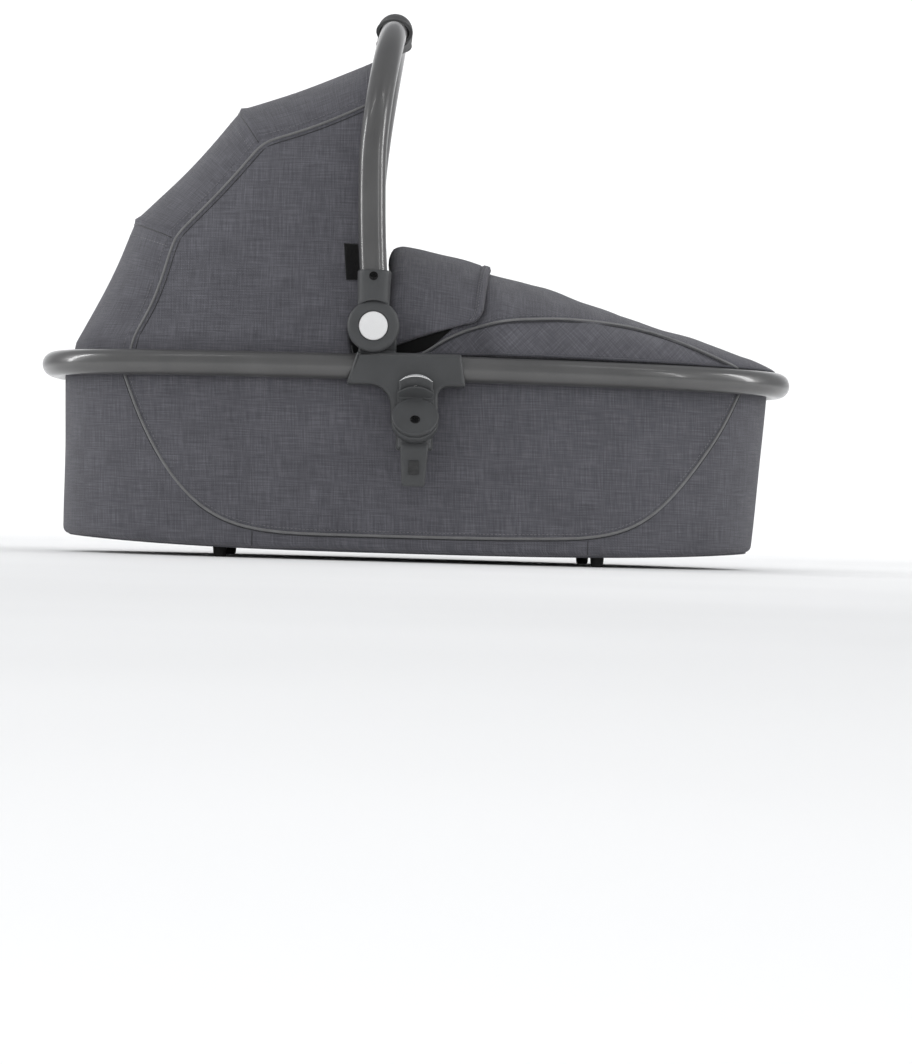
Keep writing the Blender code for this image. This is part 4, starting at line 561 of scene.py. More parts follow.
def drop_loose(piece):
    """Remove points that no face uses."""
    def change(shape):
        loose = [v for v in shape.verts if not v.link_faces]
        bmesh.ops.delete(shape, geom=loose, context="VERTS")

    return edit_mesh(piece, change)


def on_grid(points, normals, rows, columns, lift=0.0):
    """Places on a grid at fractions of its rows and columns, lifted off it, and their normals."""
    rows = np.clip(np.asarray(rows, float), 0, points.shape[0] - 1.000001)
    columns = np.clip(np.asarray(columns, float), 0, points.shape[1] - 1.000001)
    i, j = rows.astype(int), columns.astype(int)
    a, b = (rows - i)[:, None], (columns - j)[:, None]

    def blend(values):
        near = values[i, j] * (1 - b) + values[i, j + 1] * b
        far = values[i + 1, j] * (1 - b) + values[i + 1, j + 1] * b
        return near * (1 - a) + far * a

    square = unit(blend(normals))
    return blend(points) + square * lift, square


def sweep(name, path, radius, finish, up, sides=12, closed=False):
    """A round bar along a path. up is a direction, or one for each point, to steady the section."""
    path = np.asarray(path, float)
    count = len(path)
    radius = np.broadcast_to(np.asarray(radius, float), (count,))
    if closed:
        ahead = unit(np.roll(path, -1, axis=0) - np.roll(path, 1, axis=0))
    else:
        ahead = unit(np.gradient(path, axis=0))
    side = unit(np.cross(ahead, np.broadcast_to(np.asarray(up, float), path.shape)))
    lift = np.cross(side, ahead)
    turns = 2 * math.pi * np.arange(sides) / sides
    ring = np.cos(turns)[None, :, None] * side[:, None, :]
    ring = ring + np.sin(turns)[None, :, None] * lift[:, None, :]
    points = path[:, None, :] + ring * radius[:, None, None]
    along = distances(path)
    if closed:
        along = np.append(along, along[-1] + np.linalg.norm(path[0] - path[-1]))
    faces = ring_faces(count, sides, closed=closed)
    uvs = []
    for i in range(len(along) - 1):
        girth = 2 * math.pi * radius[i] / sides
        for j in range(sides):
            uvs += [(j * girth, along[i]), ((j + 1) * girth, along[i]),
                    ((j + 1) * girth, along[i + 1]), (j * girth, along[i + 1])]
    if not closed:
        faces.append(list(range(sides))[::-1])
        faces.append(list(range((count - 1) * sides, count * sides)))
        uvs += [(0.0, 0.0)] * (2 * sides)
    return new_piece(name, points.reshape(-1, 3), faces, finish, uvs)


def join(target, *others):
    """Add other pieces' meshes to a piece, with their materials."""
    bpy.ops.object.select_all(action="DESELECT")
    for other in others:
        other.select_set(True)
    target.select_set(True)
    bpy.context.view_layer.objects.active = target
    bpy.ops.object.join()
    return target


def frame_of(direction):
    """A rotation that takes +Z to a direction, with +X kept level where it can be."""
    axis = Vector(direction).normalized()
    level = Vector((1.0, 0.0, 0.0))
    if abs(axis.dot(level)) > 0.95:
        level = Vector((0.0, 1.0, 0.0))
    first = (level - axis * level.dot(axis)).normalized()
    second = axis.cross(first)
    return np.array((first, second, axis)).T


def lathe(name, profile, place, direction, finish, steps=48):
    """A turned solid: (radius, height) pairs about an axis; it ends on the axis or in flat caps."""
    turn = frame_of(direction)
    angles = 2 * math.pi * np.arange(steps) / steps
    points = []
    rings = []
    for radius, height in profile:
        if radius < 1e-7:
            rings.append([len(points)])
            points.append((0.0, 0.0, height))
        else:
            rings.append(list(range(len(points), len(points) + steps)))
            points += [(radius * math.cos(a), radius * math.sin(a), height) for a in angles]
    faces = []
    for low, high in zip(rings, rings[1:]):
        for j in range(steps):
            k = (j + 1) % steps
            if len(low) == 1:
                faces.append([low[0], high[k], high[j]])
            elif len(high) == 1:
                faces.append([low[j], low[k], high[0]])
            else:
                faces.append([low[j], low[k], high[k], high[j]])
    if len(rings[0]) > 1:
        faces.append(rings[0][::-1])
    if len(rings[-1]) > 1:
        faces.append(rings[-1])
    placed = np.array(points) @ turn.T + np.asarray(place)
    return outward(new_piece(name, placed, faces, finish))


def outward(piece):
    """The piece with its faces turned to look out."""
    return edit_mesh(piece, lambda shape: bmesh.ops.recalc_face_normals(shape, faces=shape.faces))


def rounded(corners, steps=8):
    """A closed outline from (x, y, radius) corners, each one rounded."""
    outline = []
    count = len(corners)
    for index, (x, y, radius) in enumerate(corners):
        here = np.array((x, y))
        before = unit(np.array(corners[index - 1][:2]) - here)
        after = unit(np.array(corners[(index + 1) % count][:2]) - here)
        if radius <= 0:
            outline.append(here)
            continue
        half = math.acos(max(-1.0, min(1.0, float(before @ after)))) / 2
        reach = radius / math.tan(half)
        centre = here + unit(before + after) * radius / math.sin(half)
        first = here + before * reach - centre
        last = here + after * reach - centre
        start = math.atan2(first[1], first[0])
        span = math.atan2(last[1], last[0]) - start
        span = (span + math.pi) % (2 * math.pi) - math.pi
        for step in range(steps + 1):
            angle = start + span * step / steps
            outline.append(centre + radius * np.array((math.cos(angle), math.sin(angle))))
    return np.array(outline)


def inset(outline, distance):
    """A closed outline, counted anticlockwise, drawn in by a distance."""
    before = outline - np.roll(outline, 1, axis=0)
    after = np.roll(outline, -1, axis=0) - outline
    first, second = unit(before), unit(after)
    left = unit(np.stack((-first[:, 1] - second[:, 1], first[:, 0] + second[:, 0]), axis=1))
    stretch = left[:, 0] * -first[:, 1] + left[:, 1] * first[:, 0]
    return outline + left * (distance / np.maximum(stretch, 0.5))[:, None]


def slab(name, outline, depths, place):
    """A moulded solid from an outline: soft_levels takes the depths, and place maps (u, v, depth)."""
    levels = soft_levels(*depths)
    area = 0.5 * np.sum(outline[:, 0] * np.roll(outline[:, 1], -1)
                        - np.roll(outline[:, 0], -1) * outline[:, 1])
    if area < 0:
        outline = outline[::-1]
    count = len(outline)
    points = []
    for distance, depth in levels:
        points += [place(u, v, depth) for u, v in inset(outline, distance)]
    faces = ring_faces(len(levels), count)
    sides = len(faces)
    for level in (0, len(levels) - 1):
        for corners in cap_triangles(inset(outline, levels[level][0])):
            faces.append([level * count + j for j in corners])
    piece = outward(new_piece(name, points, faces, PLASTIC))
    flat_faces(piece, sides)
    return piece


def cap_triangles(flat):
    """Triangles that fill a closed outline, as numbers of its points."""
    count = len(flat)
    ring = [Vector(p) for p in flat]
    edges = [(j, (j + 1) % count) for j in range(count)]
    result = delaunay_2d_cdt(ring, edges, [], 1, 1e-7)
    source = []
    for point, owners in zip(result[0], result[3]):
        if owners:
            source.append(owners[0])
        else:
            away = np.linalg.norm(flat - np.array(point), axis=1)
            source.append(int(np.argmin(away)))
    triangles = [[source[v] for v in face] for face in result[2]]
    return [t for t in triangles if len(set(t)) == 3]


def flat_faces(piece, first):
    """Shade a piece's faces from a number on as flat ones."""
    smooth = np.ones(len(piece.data.polygons), bool)
    smooth[first:] = False
    piece.data.polygons.foreach_set("use_smooth", smooth)


def soft_levels(low, high, low_round, high_round, steps=4):
    """(inset, depth) pairs of a slab between two depths, with both of its edges rounded."""
    turns = [math.pi / 2 * step / steps for step in range(steps + 1)]
    levels = [(low_round * (1 - math.sin(a)), low + low_round * (1 - math.cos(a))) for a in turns]
    levels += [(high_round * (1 - math.cos(a)), high - high_round * (1 - math.sin(a))) for a in turns]
    return levels


def ripples(first, second, waves):
    """Gentle unevenness: a sum of waves, each (height, turns of first, turns of second, phase)."""
    total = np.zeros(np.broadcast(first, second).shape)
    for height, a, b, phase in waves:
        total = total + height * np.sin(2 * math.pi * (a * first + b * second) + phase)
    return total


def stitches(name, path, normals):
    """A row of sewn stitches along a path, half sunk into the cloth."""
    path = np.asarray(path, float)
    along = distances(path)
    count = max(2, int(along[-1] / (STITCH_LENGTH + STITCH_GAP)))
    shares = ((0.0, 0.25), (0.2, 0.9), (0.5, 1.1), (0.8, 0.9), (1.0, 0.25))
    sides = 6
    band = []
    for j in range(sides):
        low, high = j * 0.0004, (j + 1) % sides * 0.0004
        band += [(low, 0.0), (high, 0.0), (high, 0.0008), (low, 0.0008)]
    points = []
    faces = []
    uvs = []

    def at(place, values):
        return np.array([np.interp(place, along, values[:, k]) for k in range(3)])

    for start in np.arange(count) * along[-1] / count:
        base = len(points)
        for share, fat in shares:
            place = start + STITCH_LENGTH * share
            here = at(place, path)
            ahead = at(min(place + 0.0005, along[-1]), path) - at(max(place - 0.0005, 0.0), path)
            ahead = ahead / max(np.linalg.norm(ahead), 1e-12)
            up = at(place, normals)
            side = np.cross(ahead, up)
            for step in range(sides):
                turn = 2 * math.pi * step / sides
                points.append(here + (side * math.cos(turn) + up * math.sin(turn)) * STITCH_RADIUS * fat)
        faces += ring_faces(len(shares), sides, base)
        faces.append(list(range(base, base + sides))[::-1])
        faces.append(list(range(len(points) - sides, len(points))))
        uvs += [(x, start + y) for x, y in band] * (len(shares) - 1)
        uvs += [(0.0, start)] * (2 * sides)
    return new_piece(name, points, faces, THREAD, uvs)


# Shared shapes

def egg(turn, head, foot, side):
    """Places round the egg-shaped plan; a turn of 0 is the foot tip, half a turn the head tip."""
    c, s = np.cos(turn), np.sin(turn)
    power = np.where(c > 0, 2 / FOOT_SQUARE, 2 / HEAD_SQUARE)
    x = np.sign(c) * np.abs(c) ** power * np.where(c > 0, foot, head)
    y = np.sign(s) * np.abs(s) ** power * side
    return x, y


def even_turns(count, head, foot, side, first=0.0, last=2 * math.pi):
    """Turns that space points evenly round the plan."""
    turns = np.linspace(first, last, 6000)
    x, y = egg(turns, head, foot, side)
    along = np.concatenate(([0.0], np.cumsum(np.hypot(np.diff(x), np.diff(y)))))
    return np.interp(np.linspace(0.0, along[-1], count), along, turns)


def half_width(x, head, foot, side):
    """Half the plan's width at a place along X."""
    reach = foot if x > 0 else head
    square = FOOT_SQUARE if x > 0 else HEAD_SQUARE
    return side * max(0.0, 1 - abs(x / reach) ** square) ** (1 / square)


def ease(share):
    """Smooth start and end of a 0 to 1 share."""
    share = np.clip(share, 0.0, 1.0)
    return share * share * (3 - 2 * share)


def handle_x(z):
    """Place along X of the handle's centre line at a height."""
    if z < 0.440:
        return -0.058 + 0.0065 * ((0.440 - z) / (0.440 - HUB_Z - 0.0325)) ** 2
    return -0.058 + 0.021 * ((z - 0.440) / 0.166) ** 1.5


def handle_line():
    """Dense centre line of the handle from the left collar to the right one."""
    legs = [(handle_x(z), -HANDLE_SPAN, z) for z in np.linspace(0.2888, HANDLE_SPRING, 40)]
    arch = []
    for angle in np.linspace(0.0, math.pi / 2, 90)[1:]:
        z = HANDLE_SPRING + HANDLE_RISE * math.sin(angle)
        arch.append((handle_x(z), -HANDLE_SPAN * math.cos(angle), z))
    half = legs + arch
    return np.array(half + [(x, -y, z) for x, y, z in reversed(half[:-1])])


# Rim and handle

def make_rim():
    """Two bent lacquered tubes."""
    plan = np.stack(egg(even_turns(RIM_STEPS, RIM_REACH, RIM_REACH, RIM_SIDE),
                        RIM_REACH, RIM_REACH, RIM_SIDE), axis=1)
    # from the head tip on, so that the foot's points follow one another
    half = RIM_STEPS // 2
    turned = np.concatenate((plan[half:], plan[1:half]))
    head = plan[plan[:, 0] < RIM_JOINT_X - RIM_GAP / 2]
    foot = turned[turned[:, 0] > RIM_JOINT_X + RIM_GAP / 2]
    for name, line in (("head", head), ("foot", foot)):
        line = resample(line, 150)
        path = np.column_stack((line, np.full(len(line), RIM_Z)))
        piece = sweep(f"rim_{name}_bent", path, RIM_RADIUS, TUBE, (0, 0, 1), sides=32)
        ride_and_slot(piece, "cot", f"rim_tube_{name}")


def make_handle():
    """Bent handle tube and its soft grip."""
    line = resample(handle_line(), 220)
    tube = sweep("handle_bent", line, HANDLE_RADIUS, TUBE, (1, 0, 0), sides=32)
    ride_and_slot(tube, "handle", "handle_tube")
    end_rings = ((0.0010, 0.0150), (-0.0006, 0.0152), (-0.0008, 0.0168), (-0.0020, 0.0171),
                 (-0.0006, 0.0176), (0.0000, 0.0188), (0.0003, 0.0200), (0.0012, 0.0208),
                 (0.0026, 0.0210), (0.0044, 0.0209), (0.0056, 0.0203), (0.0070, 0.0200))
    places = [(-GRIP_HALF + step, radius) for step, radius in end_rings]
    reach = GRIP_HALF - 0.0095
    places += [(y, GRIP_RADIUS) for y in np.linspace(-reach, reach, 44)]
    places += [(-y, radius) for y, radius in reversed(places[:len(end_rings)])]
    rings = np.array([grip_ring(y, radius) for y, radius in places])
    faces = ring_faces(len(rings), GRIP_SIDES)
    grip = outward(new_piece("handle_grip_sleeve", rings.reshape(-1, 3), faces, SOFT_GRIP))
    ride_and_slot(grip, "handle", "handle_grip")
    for end, sign in SIDES.items():
        ring = grip_ring(sign * (GRIP_HALF + 0.0006), 0.0159)
        outwards = unit(ring - ring.mean(axis=0))
        seal = sweep(f"handle_grip_seal_{end}", ring, 0.0011, RUBBER, outwards, 8, True)
        ride_and_slot(seal, "handle")


def arch_point(y):
    """Place on the handle's centre line at a distance across, and the direction along it."""
    points = []
    for across in (y - 0.0005, y, y + 0.0005):
        z = HANDLE_SPRING + HANDLE_RISE * math.sqrt(1 - (across / HANDLE_SPAN) ** 2)
        points.append(np.array((handle_x(z), across, z)))
    return points[1], unit(points[2] - points[0])


def grip_ring(y, radius):
    """A ring round the handle that leans over near the grip's ends."""
    centre, ahead = arch_point(y)
    lean = GRIP_LEAN * float(ease((abs(y) - GRIP_HALF + 0.028) / 0.024)) * (1 if y > 0 else -1)
    side = unit(np.cross(ahead, (1.0, 0.0, 0.0)))
    lift = np.cross(side, ahead)
    turned = side * math.cos(lean) + ahead * math.sin(lean) * (1 if side[2] > 0 else -1)
    turns = 2 * math.pi * np.arange(GRIP_SIDES) / GRIP_SIDES
    return centre + radius * (np.cos(turns)[:, None] * turned + np.sin(turns)[:, None] * lift)


def side_place(side):
    """Maps an outline in X and Z, and a depth outward along Y, to one side of the cot."""
    def place(u, v, depth):
        return (u, side * depth, v)
    return place


def hub_circle(radius):
    """A round outline about the hub axis."""
    return np.array([(HUB_X + radius * math.cos(a), HUB_Z + radius * math.sin(a))
                     for a in np.radians(np.linspace(0.0, 360.0, 73))[:-1]])


def make_hubs():
    """Hub disc, collar and press button on each side."""
    neck = rounded(((-0.0690, 0.2600, 0.0), (-0.0356, 0.2600, 0.0), (-0.0356, 0.2890, 0.0),
                    (-0.0690, 0.2890, 0.0)))
    face = ((0.0, 0.2120), (0.0158, 0.2120), (0.01602, 0.2206), (0.01632, 0.2215), (0.0171, 0.2220),
            (0.0215, 0.2221), (0.0238, 0.2219), (0.0258, 0.2212), (0.0273, 0.2200), (0.0282, 0.2184),
            (0.0285, 0.2168), (0.0282, 0.2158), (0.0274, 0.2154), (0.0, 0.2154))
    dome = [(0.0, 0.2236)] + [(0.0144 * s, 0.2236 - 0.0006 * s ** 2) for s in (0.3, 0.6, 0.85, 1.0)]
    dome += [(0.0151, 0.2226), (0.0155, 0.2219), (0.01565, 0.2208), (0.01565, 0.2135), (0.0, 0.2135)]
    for end, side in SIDES.items():
        place = side_place(side)
        axis = ((HUB_X, 0, HUB_Z), (0, side, 0))
        collar = make_collar(f"hub_collar_{end}", side)
        stem = slab(f"hub_stem_{end}", neck, (0.1960, 0.2178, 0.001, 0.002), place)
        rear = slab(f"hub_rear_{end}", hub_circle(0.0250), (0.1959, 0.2175, 0.001, 0.001), place)
        hub = join(collar, stem, rear, lathe(f"hub_disc_{end}", face, *axis, PLASTIC, 72))
        hub.name = f"hub_and_collar_{end}"
        ride_and_slot(hub, "handle", f"handle_hub_{end}")
        button = lathe(f"hub_press_{end}", dome, *axis, BUTTON, 64)
        ride_and_slot(button, f"button_{end}", f"hub_button_{end}")


def make_collar(name, side):
    """Round socket for the handle tube, cut below by the arc of the hub disc."""
    steps = 72
    turns = 2 * math.pi * np.arange(steps) / steps
    c, s = np.cos(turns), np.sin(turns)
    wide = np.sign(c) * np.abs(c) ** 0.76 * 0.0184
    deep = np.sign(s) * np.abs(s) ** 0.76 * 0.0185

    def ring(scale, z):
        x = COLLAR_X + wide * scale
        y = side * (HANDLE_SPAN + deep * scale)
        return np.column_stack((x, y, np.broadcast_to(z, x.shape)))

    def arc(scale):
        away = COLLAR_X + wide * scale - HUB_X
        return HUB_Z + np.sqrt(0.0276 ** 2 - away ** 2)

    top = COLLAR_TOP
    rows = [ring(scale, arc(scale)) for scale in (0.02, 0.35, 0.7, 0.91)]
    low = arc(0.94)
    for share in np.linspace(0.02, 1.0, 14):
        rows.append(ring(0.945 + 0.055 * share, low + (top - 0.0022 - low) * share))
    for angle in np.radians((25, 50, 75, 90)):
        rows.append(ring(1 - 0.12 * (1 - math.cos(angle)), top - 0.0022 * (1 - math.sin(angle))))
    rows += [ring(0.845, top - 0.0003), ring(0.825, top - 0.0018), ring(0.80, top - 0.0060)]
    return stack(name, rows, PLASTIC)


def cross_screw(name, place, direction, height):
    """Domed screw head with a cross recess."""
    rings = np.concatenate((np.linspace(0.0, 0.92, 22), (0.96, 1.0, 1.0)))
    last = len(rings) - 1
    steps = 72
    points = []
    for index, share in enumerate(rings):
        for step in range(steps):
            angle = 2 * math.pi * step / steps
            u, v = share * math.cos(angle), share * math.sin(angle)
            z = height * (1 - 0.55 * share ** 2)
            arm = max(0.0, min((0.17 - min(abs(u), abs(v))) / 0.05, (0.62 - share) / 0.10))
            z -= min(1.0, arm) * height * 0.62
            if index >= last - 1:
                z = height * 0.32 if index == last - 1 else 0.0
            points.append((SCREW_RADIUS * u, SCREW_RADIUS * v, z))
    # one face closes the middle, and another the back
    faces = [list(range(steps, 2 * steps))] + ring_faces(last, steps, steps)
    faces.append(list(range(last * steps, (last + 1) * steps)))
    placed = np.array(points) @ frame_of(direction).T + np.asarray(place)
    return drop_loose(outward(new_piece(name, placed, faces, BLACK_STEEL)))


def make_screws():
    """Cross-head screws on the collars and adapter caps."""
    shank = ((0.0, -0.006), (0.0019, -0.006), (0.0019, 0.0), (0.0, 0.0))
    # a near-black rubber ring round the adapter screw: painted shade standing in for the recess round its
    # head
    recess_shade = ((0.0, -0.002), (0.0056, -0.002), (0.0056, 0.0001), (0.0053, 0.0004), (0.0, 0.0004))
    for end, side in SIDES.items():
        low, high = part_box(f"collar_screw_{end}")
        centre = (low + high) / 2
        at = ((centre.x, side * COLLAR_SCREW_Y, centre.z), (0, side, 0))
        head = cross_screw(f"collar_screw_head_{end}", *at, 0.0018)
        piece = join(head, lathe(f"collar_shank_{end}", shank, *at, BLACK_STEEL, 16))
        ride_and_slot(piece, "handle", f"collar_screw_{end}")
        centre, normal = drum_frame(side)
        slope = np.array((0.0, side * math.sin(DRUM_TILT), -math.cos(DRUM_TILT)))
        at = (centre + normal * 0.0002 + slope * SCREW_DROP, normal)
        head = cross_screw(f"adapter_screw_head_{end}", *at, 0.0019)
        piece = join(head, lathe(f"adapter_shank_{end}", shank, *at, BLACK_STEEL, 16),
                     lathe(f"adapter_washer_{end}", recess_shade, *at, RUBBER, 40))
        ride_and_slot(piece, "cot", f"adapter_screw_{end}")


def drum_frame(side):
    """Centre of the adapter's tilted face and its outward direction."""
    centre = np.array((ADAPTER_X, side * DRUM_CENTRE_Y, DRUM_CENTRE_Z))
    normal = np.array((0.0, side * math.cos(DRUM_TILT), math.sin(DRUM_TILT)))
    return centre, normal


def make_brackets():
    """Moulded sleeve over the rim's joint, with its stem and the ear for the hub."""
    outline = rounded((
        (-0.0688, 0.22855, 0.0012), (-0.0800, 0.1930, 0.0025), (-0.0318, 0.1930, 0.0235),
        (-0.0300, 0.1500, 0.004), (0.0215, 0.1500, 0.004), (0.0200, 0.1930, 0.0120),
        (0.0505, 0.1930, 0.0025), (0.0447, 0.22855, 0.0025)), 12)
    neck = rounded((
        (-0.0688, 0.2240, 0.0), (-0.0260, 0.2240, 0.0), (-0.0262, 0.2440, 0.006),
        (-0.0300, 0.2560, 0.010), (-0.0740, 0.2560, 0.008), (-0.0672, 0.2335, 0.003)))
    step = rounded((
        (-0.0680, 0.2255, 0.002), (-0.0262, 0.2255, 0.002), (-0.0262, 0.2306, 0.003),
        (-0.0665, 0.2306, 0.003)))
    parts = (("sleeve", outline, (0.1790, 0.2149, 0.002, 0.0045, 6)),
             ("neck", neck, (0.1789, 0.1953, 0.001, 0.0025)),
             ("ear", hub_circle(0.0265), (0.1789, 0.1953, 0.001, 0.001)),
             ("ledge", step, (0.1795, 0.2100, 0.001, 0.003)))
    for end, side in SIDES.items():
        place = side_place(side)
        bracket = join(*[slab(f"bracket_{part}_{end}", edge, depths, place) for part, edge, depths in parts])
        bracket.name = f"side_bracket_moulded_{end}"
        ride_and_slot(bracket, "cot", f"side_bracket_{end}")


def shallow_arc(half, shoulder, top, steps):
    """Points of a circular arc from one shoulder over the top to the other, right to left."""
    rise = top - shoulder
    radius = (half ** 2 + rise ** 2) / (2 * rise)
    reach = math.asin(half / radius)
    return [(ADAPTER_X + radius * math.sin(a), top - radius * (1 - math.cos(a)))
            for a in np.linspace(reach, -reach, steps)]


def dome_outline(half, bottom, shoulder, top):
    """Outline of a thumb button: straight sides under a shallow arc."""
    corners = [(ADAPTER_X - half, bottom), (ADAPTER_X + half, bottom)]
    return np.array(corners + shallow_arc(half, shoulder, top, 25))


def make_adapters():
    """Adapter body with its plug, tilted cap, thumb button and bright trim."""
    left, right = ADAPTER_X - PLATE_HALF, ADAPTER_X + PLATE_HALF
    plate = rounded(((left, 0.1222, 0.003), (right, 0.1222, 0.003), (right, 0.1905, 0.004),
                     (left, 0.1905, 0.004)))
    neck = rounded(((left + 0.0014, 0.1224, 0.004), (right - 0.0014, 0.1224, 0.004),
                    (right - 0.0012, 0.1500, 0.004), (left + 0.0012, 0.1500, 0.004)))
    drum = ((0.0, -0.0176), (0.0236, -0.0176), (0.0247, -0.0170), (0.0253, -0.0158), (0.0254, -0.0092),
            (0.0251, -0.0082), (0.0243, -0.0077), (0.0230, -0.0076), (0.0230, -0.0040), (0.0, -0.0040))
    lens = ((0.0, -0.0052), (0.0243, -0.0052), (0.0252, -0.0047), (0.0255, -0.0038), (0.0255, -0.0014),
            (0.0252, -0.0006), (0.0245, -0.0001), (0.0238, 0.0001), (0.0231, -0.0002), (0.0222, -0.0003),
            (0.0150, 0.0001), (0.0080, 0.0003), (0.0, 0.0003))
    for end, side in SIDES.items():
        place = side_place(side)
        axis = drum_frame(side)
        back = slab(f"adapter_plate_{end}", plate, (0.2152, 0.2194, 0.0006, 0.0012), place)
        column = slab(f"adapter_column_{end}", neck, (0.2160, 0.2348, 0.001, 0.005), place)
        flange = lathe(f"adapter_flange_{end}", drum, *axis, PLASTIC, 72)
        core = join(back, column, flange, plug_shape(f"adapter_plug_{end}", side))
        core.name = f"adapter_body_{end}"
        clip_inside(core, side, 0.2153)
        ride_and_slot(core, "cot", f"adapter_core_{end}")
        cap = lathe(f"adapter_cap_moulded_{end}", lens, *axis, PLASTIC, 72)
        clip_inside(cap, side, PLATE_FACE_Y)
        ride_and_slot(cap, "cot", f"adapter_cap_{end}")
        make_release(end, side)


def plug_shape(name, side):
    """Tapered plug under the adapter."""
    rows = []
    for z, half_x, half_y in ((0.1300, 0.0152, 0.0086), (0.1222, 0.0150, 0.0085), (0.0870, 0.0127, 0.0071),
                              (0.0845, 0.0122, 0.0066), (0.0832, 0.0110, 0.0054)):
        corners = rounded(((ADAPTER_X - half_x, -half_y, 0.003), (ADAPTER_X + half_x, -half_y, 0.003),
                           (ADAPTER_X + half_x, half_y, 0.003), (ADAPTER_X - half_x, half_y, 0.003)), 5)
        rows.append([(x, side * PLUG_Y + y, z) for x, y in corners])
    return stack(name, rows, PLASTIC)


def clip_inside(piece, side, limit):
    """Flatten what reaches further in than a plane onto it."""
    for vertex in piece.data.vertices:
        if side * vertex.co.y < limit:
            vertex.co.y = side * limit
    piece.data.update()


def make_release(end, side):
    """Thumb button in stepped tiers with a bright crescent over its dome."""
    def lean(u, v, depth):
        share = 0.10 + 0.90 * min(1.0, max(0.0, (v - 0.1805) / 0.0105))
        return (u, side * (PLATE_FACE_Y + (depth - PLATE_FACE_Y) * share), v)

    tiers = ((0.0182, 0.1780, 0.1966, 0.2034, 0.2284), (0.0199, 0.1780, 0.1846, 0.1916, 0.2316))
    button = join(*[slab(f"release_tier_{index}_{end}", dome_outline(*edge),
                         (PLATE_FACE_Y, high, 0.0004, 0.0020), lean)
                    for index, (*edge, high) in enumerate(tiers)])
    button.name = f"release_thumb_{end}"
    ride_and_slot(button, f"release_{end}", f"release_button_{end}")
    path = [(x, side * CRESCENT_Y, z) for x, z in shallow_arc(0.0176, 0.1972, 0.2033, 41)]
    thin = np.sin(np.linspace(0.05, math.pi - 0.05, 41)) ** 0.6
    trim = sweep(f"release_crescent_{end}", path, 0.0019 * thin, CHROME, (0, 1, 0), sides=14)
    ride_and_slot(trim, f"release_{end}", f"release_trim_{end}")


def make_feet():
    """Four tapered rubber feet."""
    for name in ("foot_head_l", "foot_head_r", "foot_toe_l", "foot_toe_r"):
        low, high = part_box(name)
        centre = (low + high) / 2
        top = high.z - 0.0015
        profile = ((0.0, high.z), (0.0040, high.z), (0.0040, top), (0.0083, top), (0.0086, top - 0.0006),
                   (0.0084, top - 0.0020), (0.0069, 0.0022), (0.0066, 0.0010), (0.0058, 0.0002),
                   (0.0048, 0.0), (0.0042, 0.0006), (0.0, 0.0006))
        foot = lathe(f"{name}_rubber", profile, (centre.x, centre.y, 0.0), (0, 0, 1), RUBBER, 40)
        ride_and_slot(foot, "cot", name)


# Soft goods

def base_height(x):
    """Height of the body's lower edge."""
    return 0.0108 + 0.011 * np.abs(x / WALL_REACH) ** 3


def wall_plan(turns, inset_by, share):
    """Places round the body at a share of the way down."""
    return egg(turns, WALL_REACH - inset_by - WALL_LEAN["head"] * share,
               WALL_REACH - inset_by - WALL_LEAN["foot"] * share,
               WALL_SIDE - inset_by - WALL_LEAN["side"] * share)


def body_grid():
    """Outer face of the fabric body: wall, rounded lower corner and hem under the tray."""
    turns = even_turns(BODY_COLUMNS + 1, WALL_REACH, WALL_REACH, WALL_SIDE)[:-1]
    rows = []
    for share in np.linspace(0.0, 1.0, WALL_ROWS):
        x, y = wall_plan(turns, 0.0, share)
        z = WALL_TOP * (1 - share) + (base_height(x) + BODY_CORNER) * share
        rows.append(np.stack((x, y, z), axis=1))
    for angle in np.radians(np.linspace(0, 90, CORNER_ROWS + 1))[1:]:
        x, y = wall_plan(turns, BODY_CORNER * (1 - math.cos(angle)), 1.0)
        z = base_height(x) + BODY_CORNER * (1 - math.sin(angle))
        rows.append(np.stack((x, y, z), axis=1))
    for share in np.linspace(0.0, 1.0, 7)[1:]:
        x, y = wall_plan(turns, BODY_CORNER + BODY_HEM * share, 1.0)
        rows.append(np.stack((x, y, base_height(x)), axis=1))
    return facing_out(np.array(rows), (0, 0, 0.1), wrap=True)


def body_side(x, z):
    """Distance across to the body's outer face at a place along X and a height."""
    low = base_height(x) + BODY_CORNER
    share = min(1.0, max(0.0, (WALL_TOP - z) / (WALL_TOP - low)))
    wide = half_width(x, WALL_REACH - WALL_LEAN["head"] * share, WALL_REACH - WALL_LEAN["foot"] * share,
                      WALL_SIDE - WALL_LEAN["side"] * share)
    under = low - z
    if under > 0:
        wide -= BODY_CORNER - math.sqrt(max(0.0, BODY_CORNER ** 2 - under ** 2))
    return wide


BODY_PIPING = ((-0.3295, 0.2075), (-0.3259, 0.1957), (-0.3073, 0.1500), (-0.2836, 0.1057), (-0.2538, 0.0679),
               (-0.2208, 0.0431), (-0.1820, 0.0317), (-0.1368, 0.0284), (-0.0858, 0.0284), (0.0000, 0.0284),
               (0.0823, 0.0288), (0.1855, 0.0312), (0.2241, 0.0367), (0.2561, 0.0505), (0.2876, 0.0805),
               (0.3126, 0.1135), (0.3431, 0.1569), (0.3593, 0.1919), (0.3650, 0.2060))


def plane_curve(points, count):
    """A smooth dense curve through points in a plane."""
    line = resample(points, 400)
    return resample(smoothed(line, 220), count)


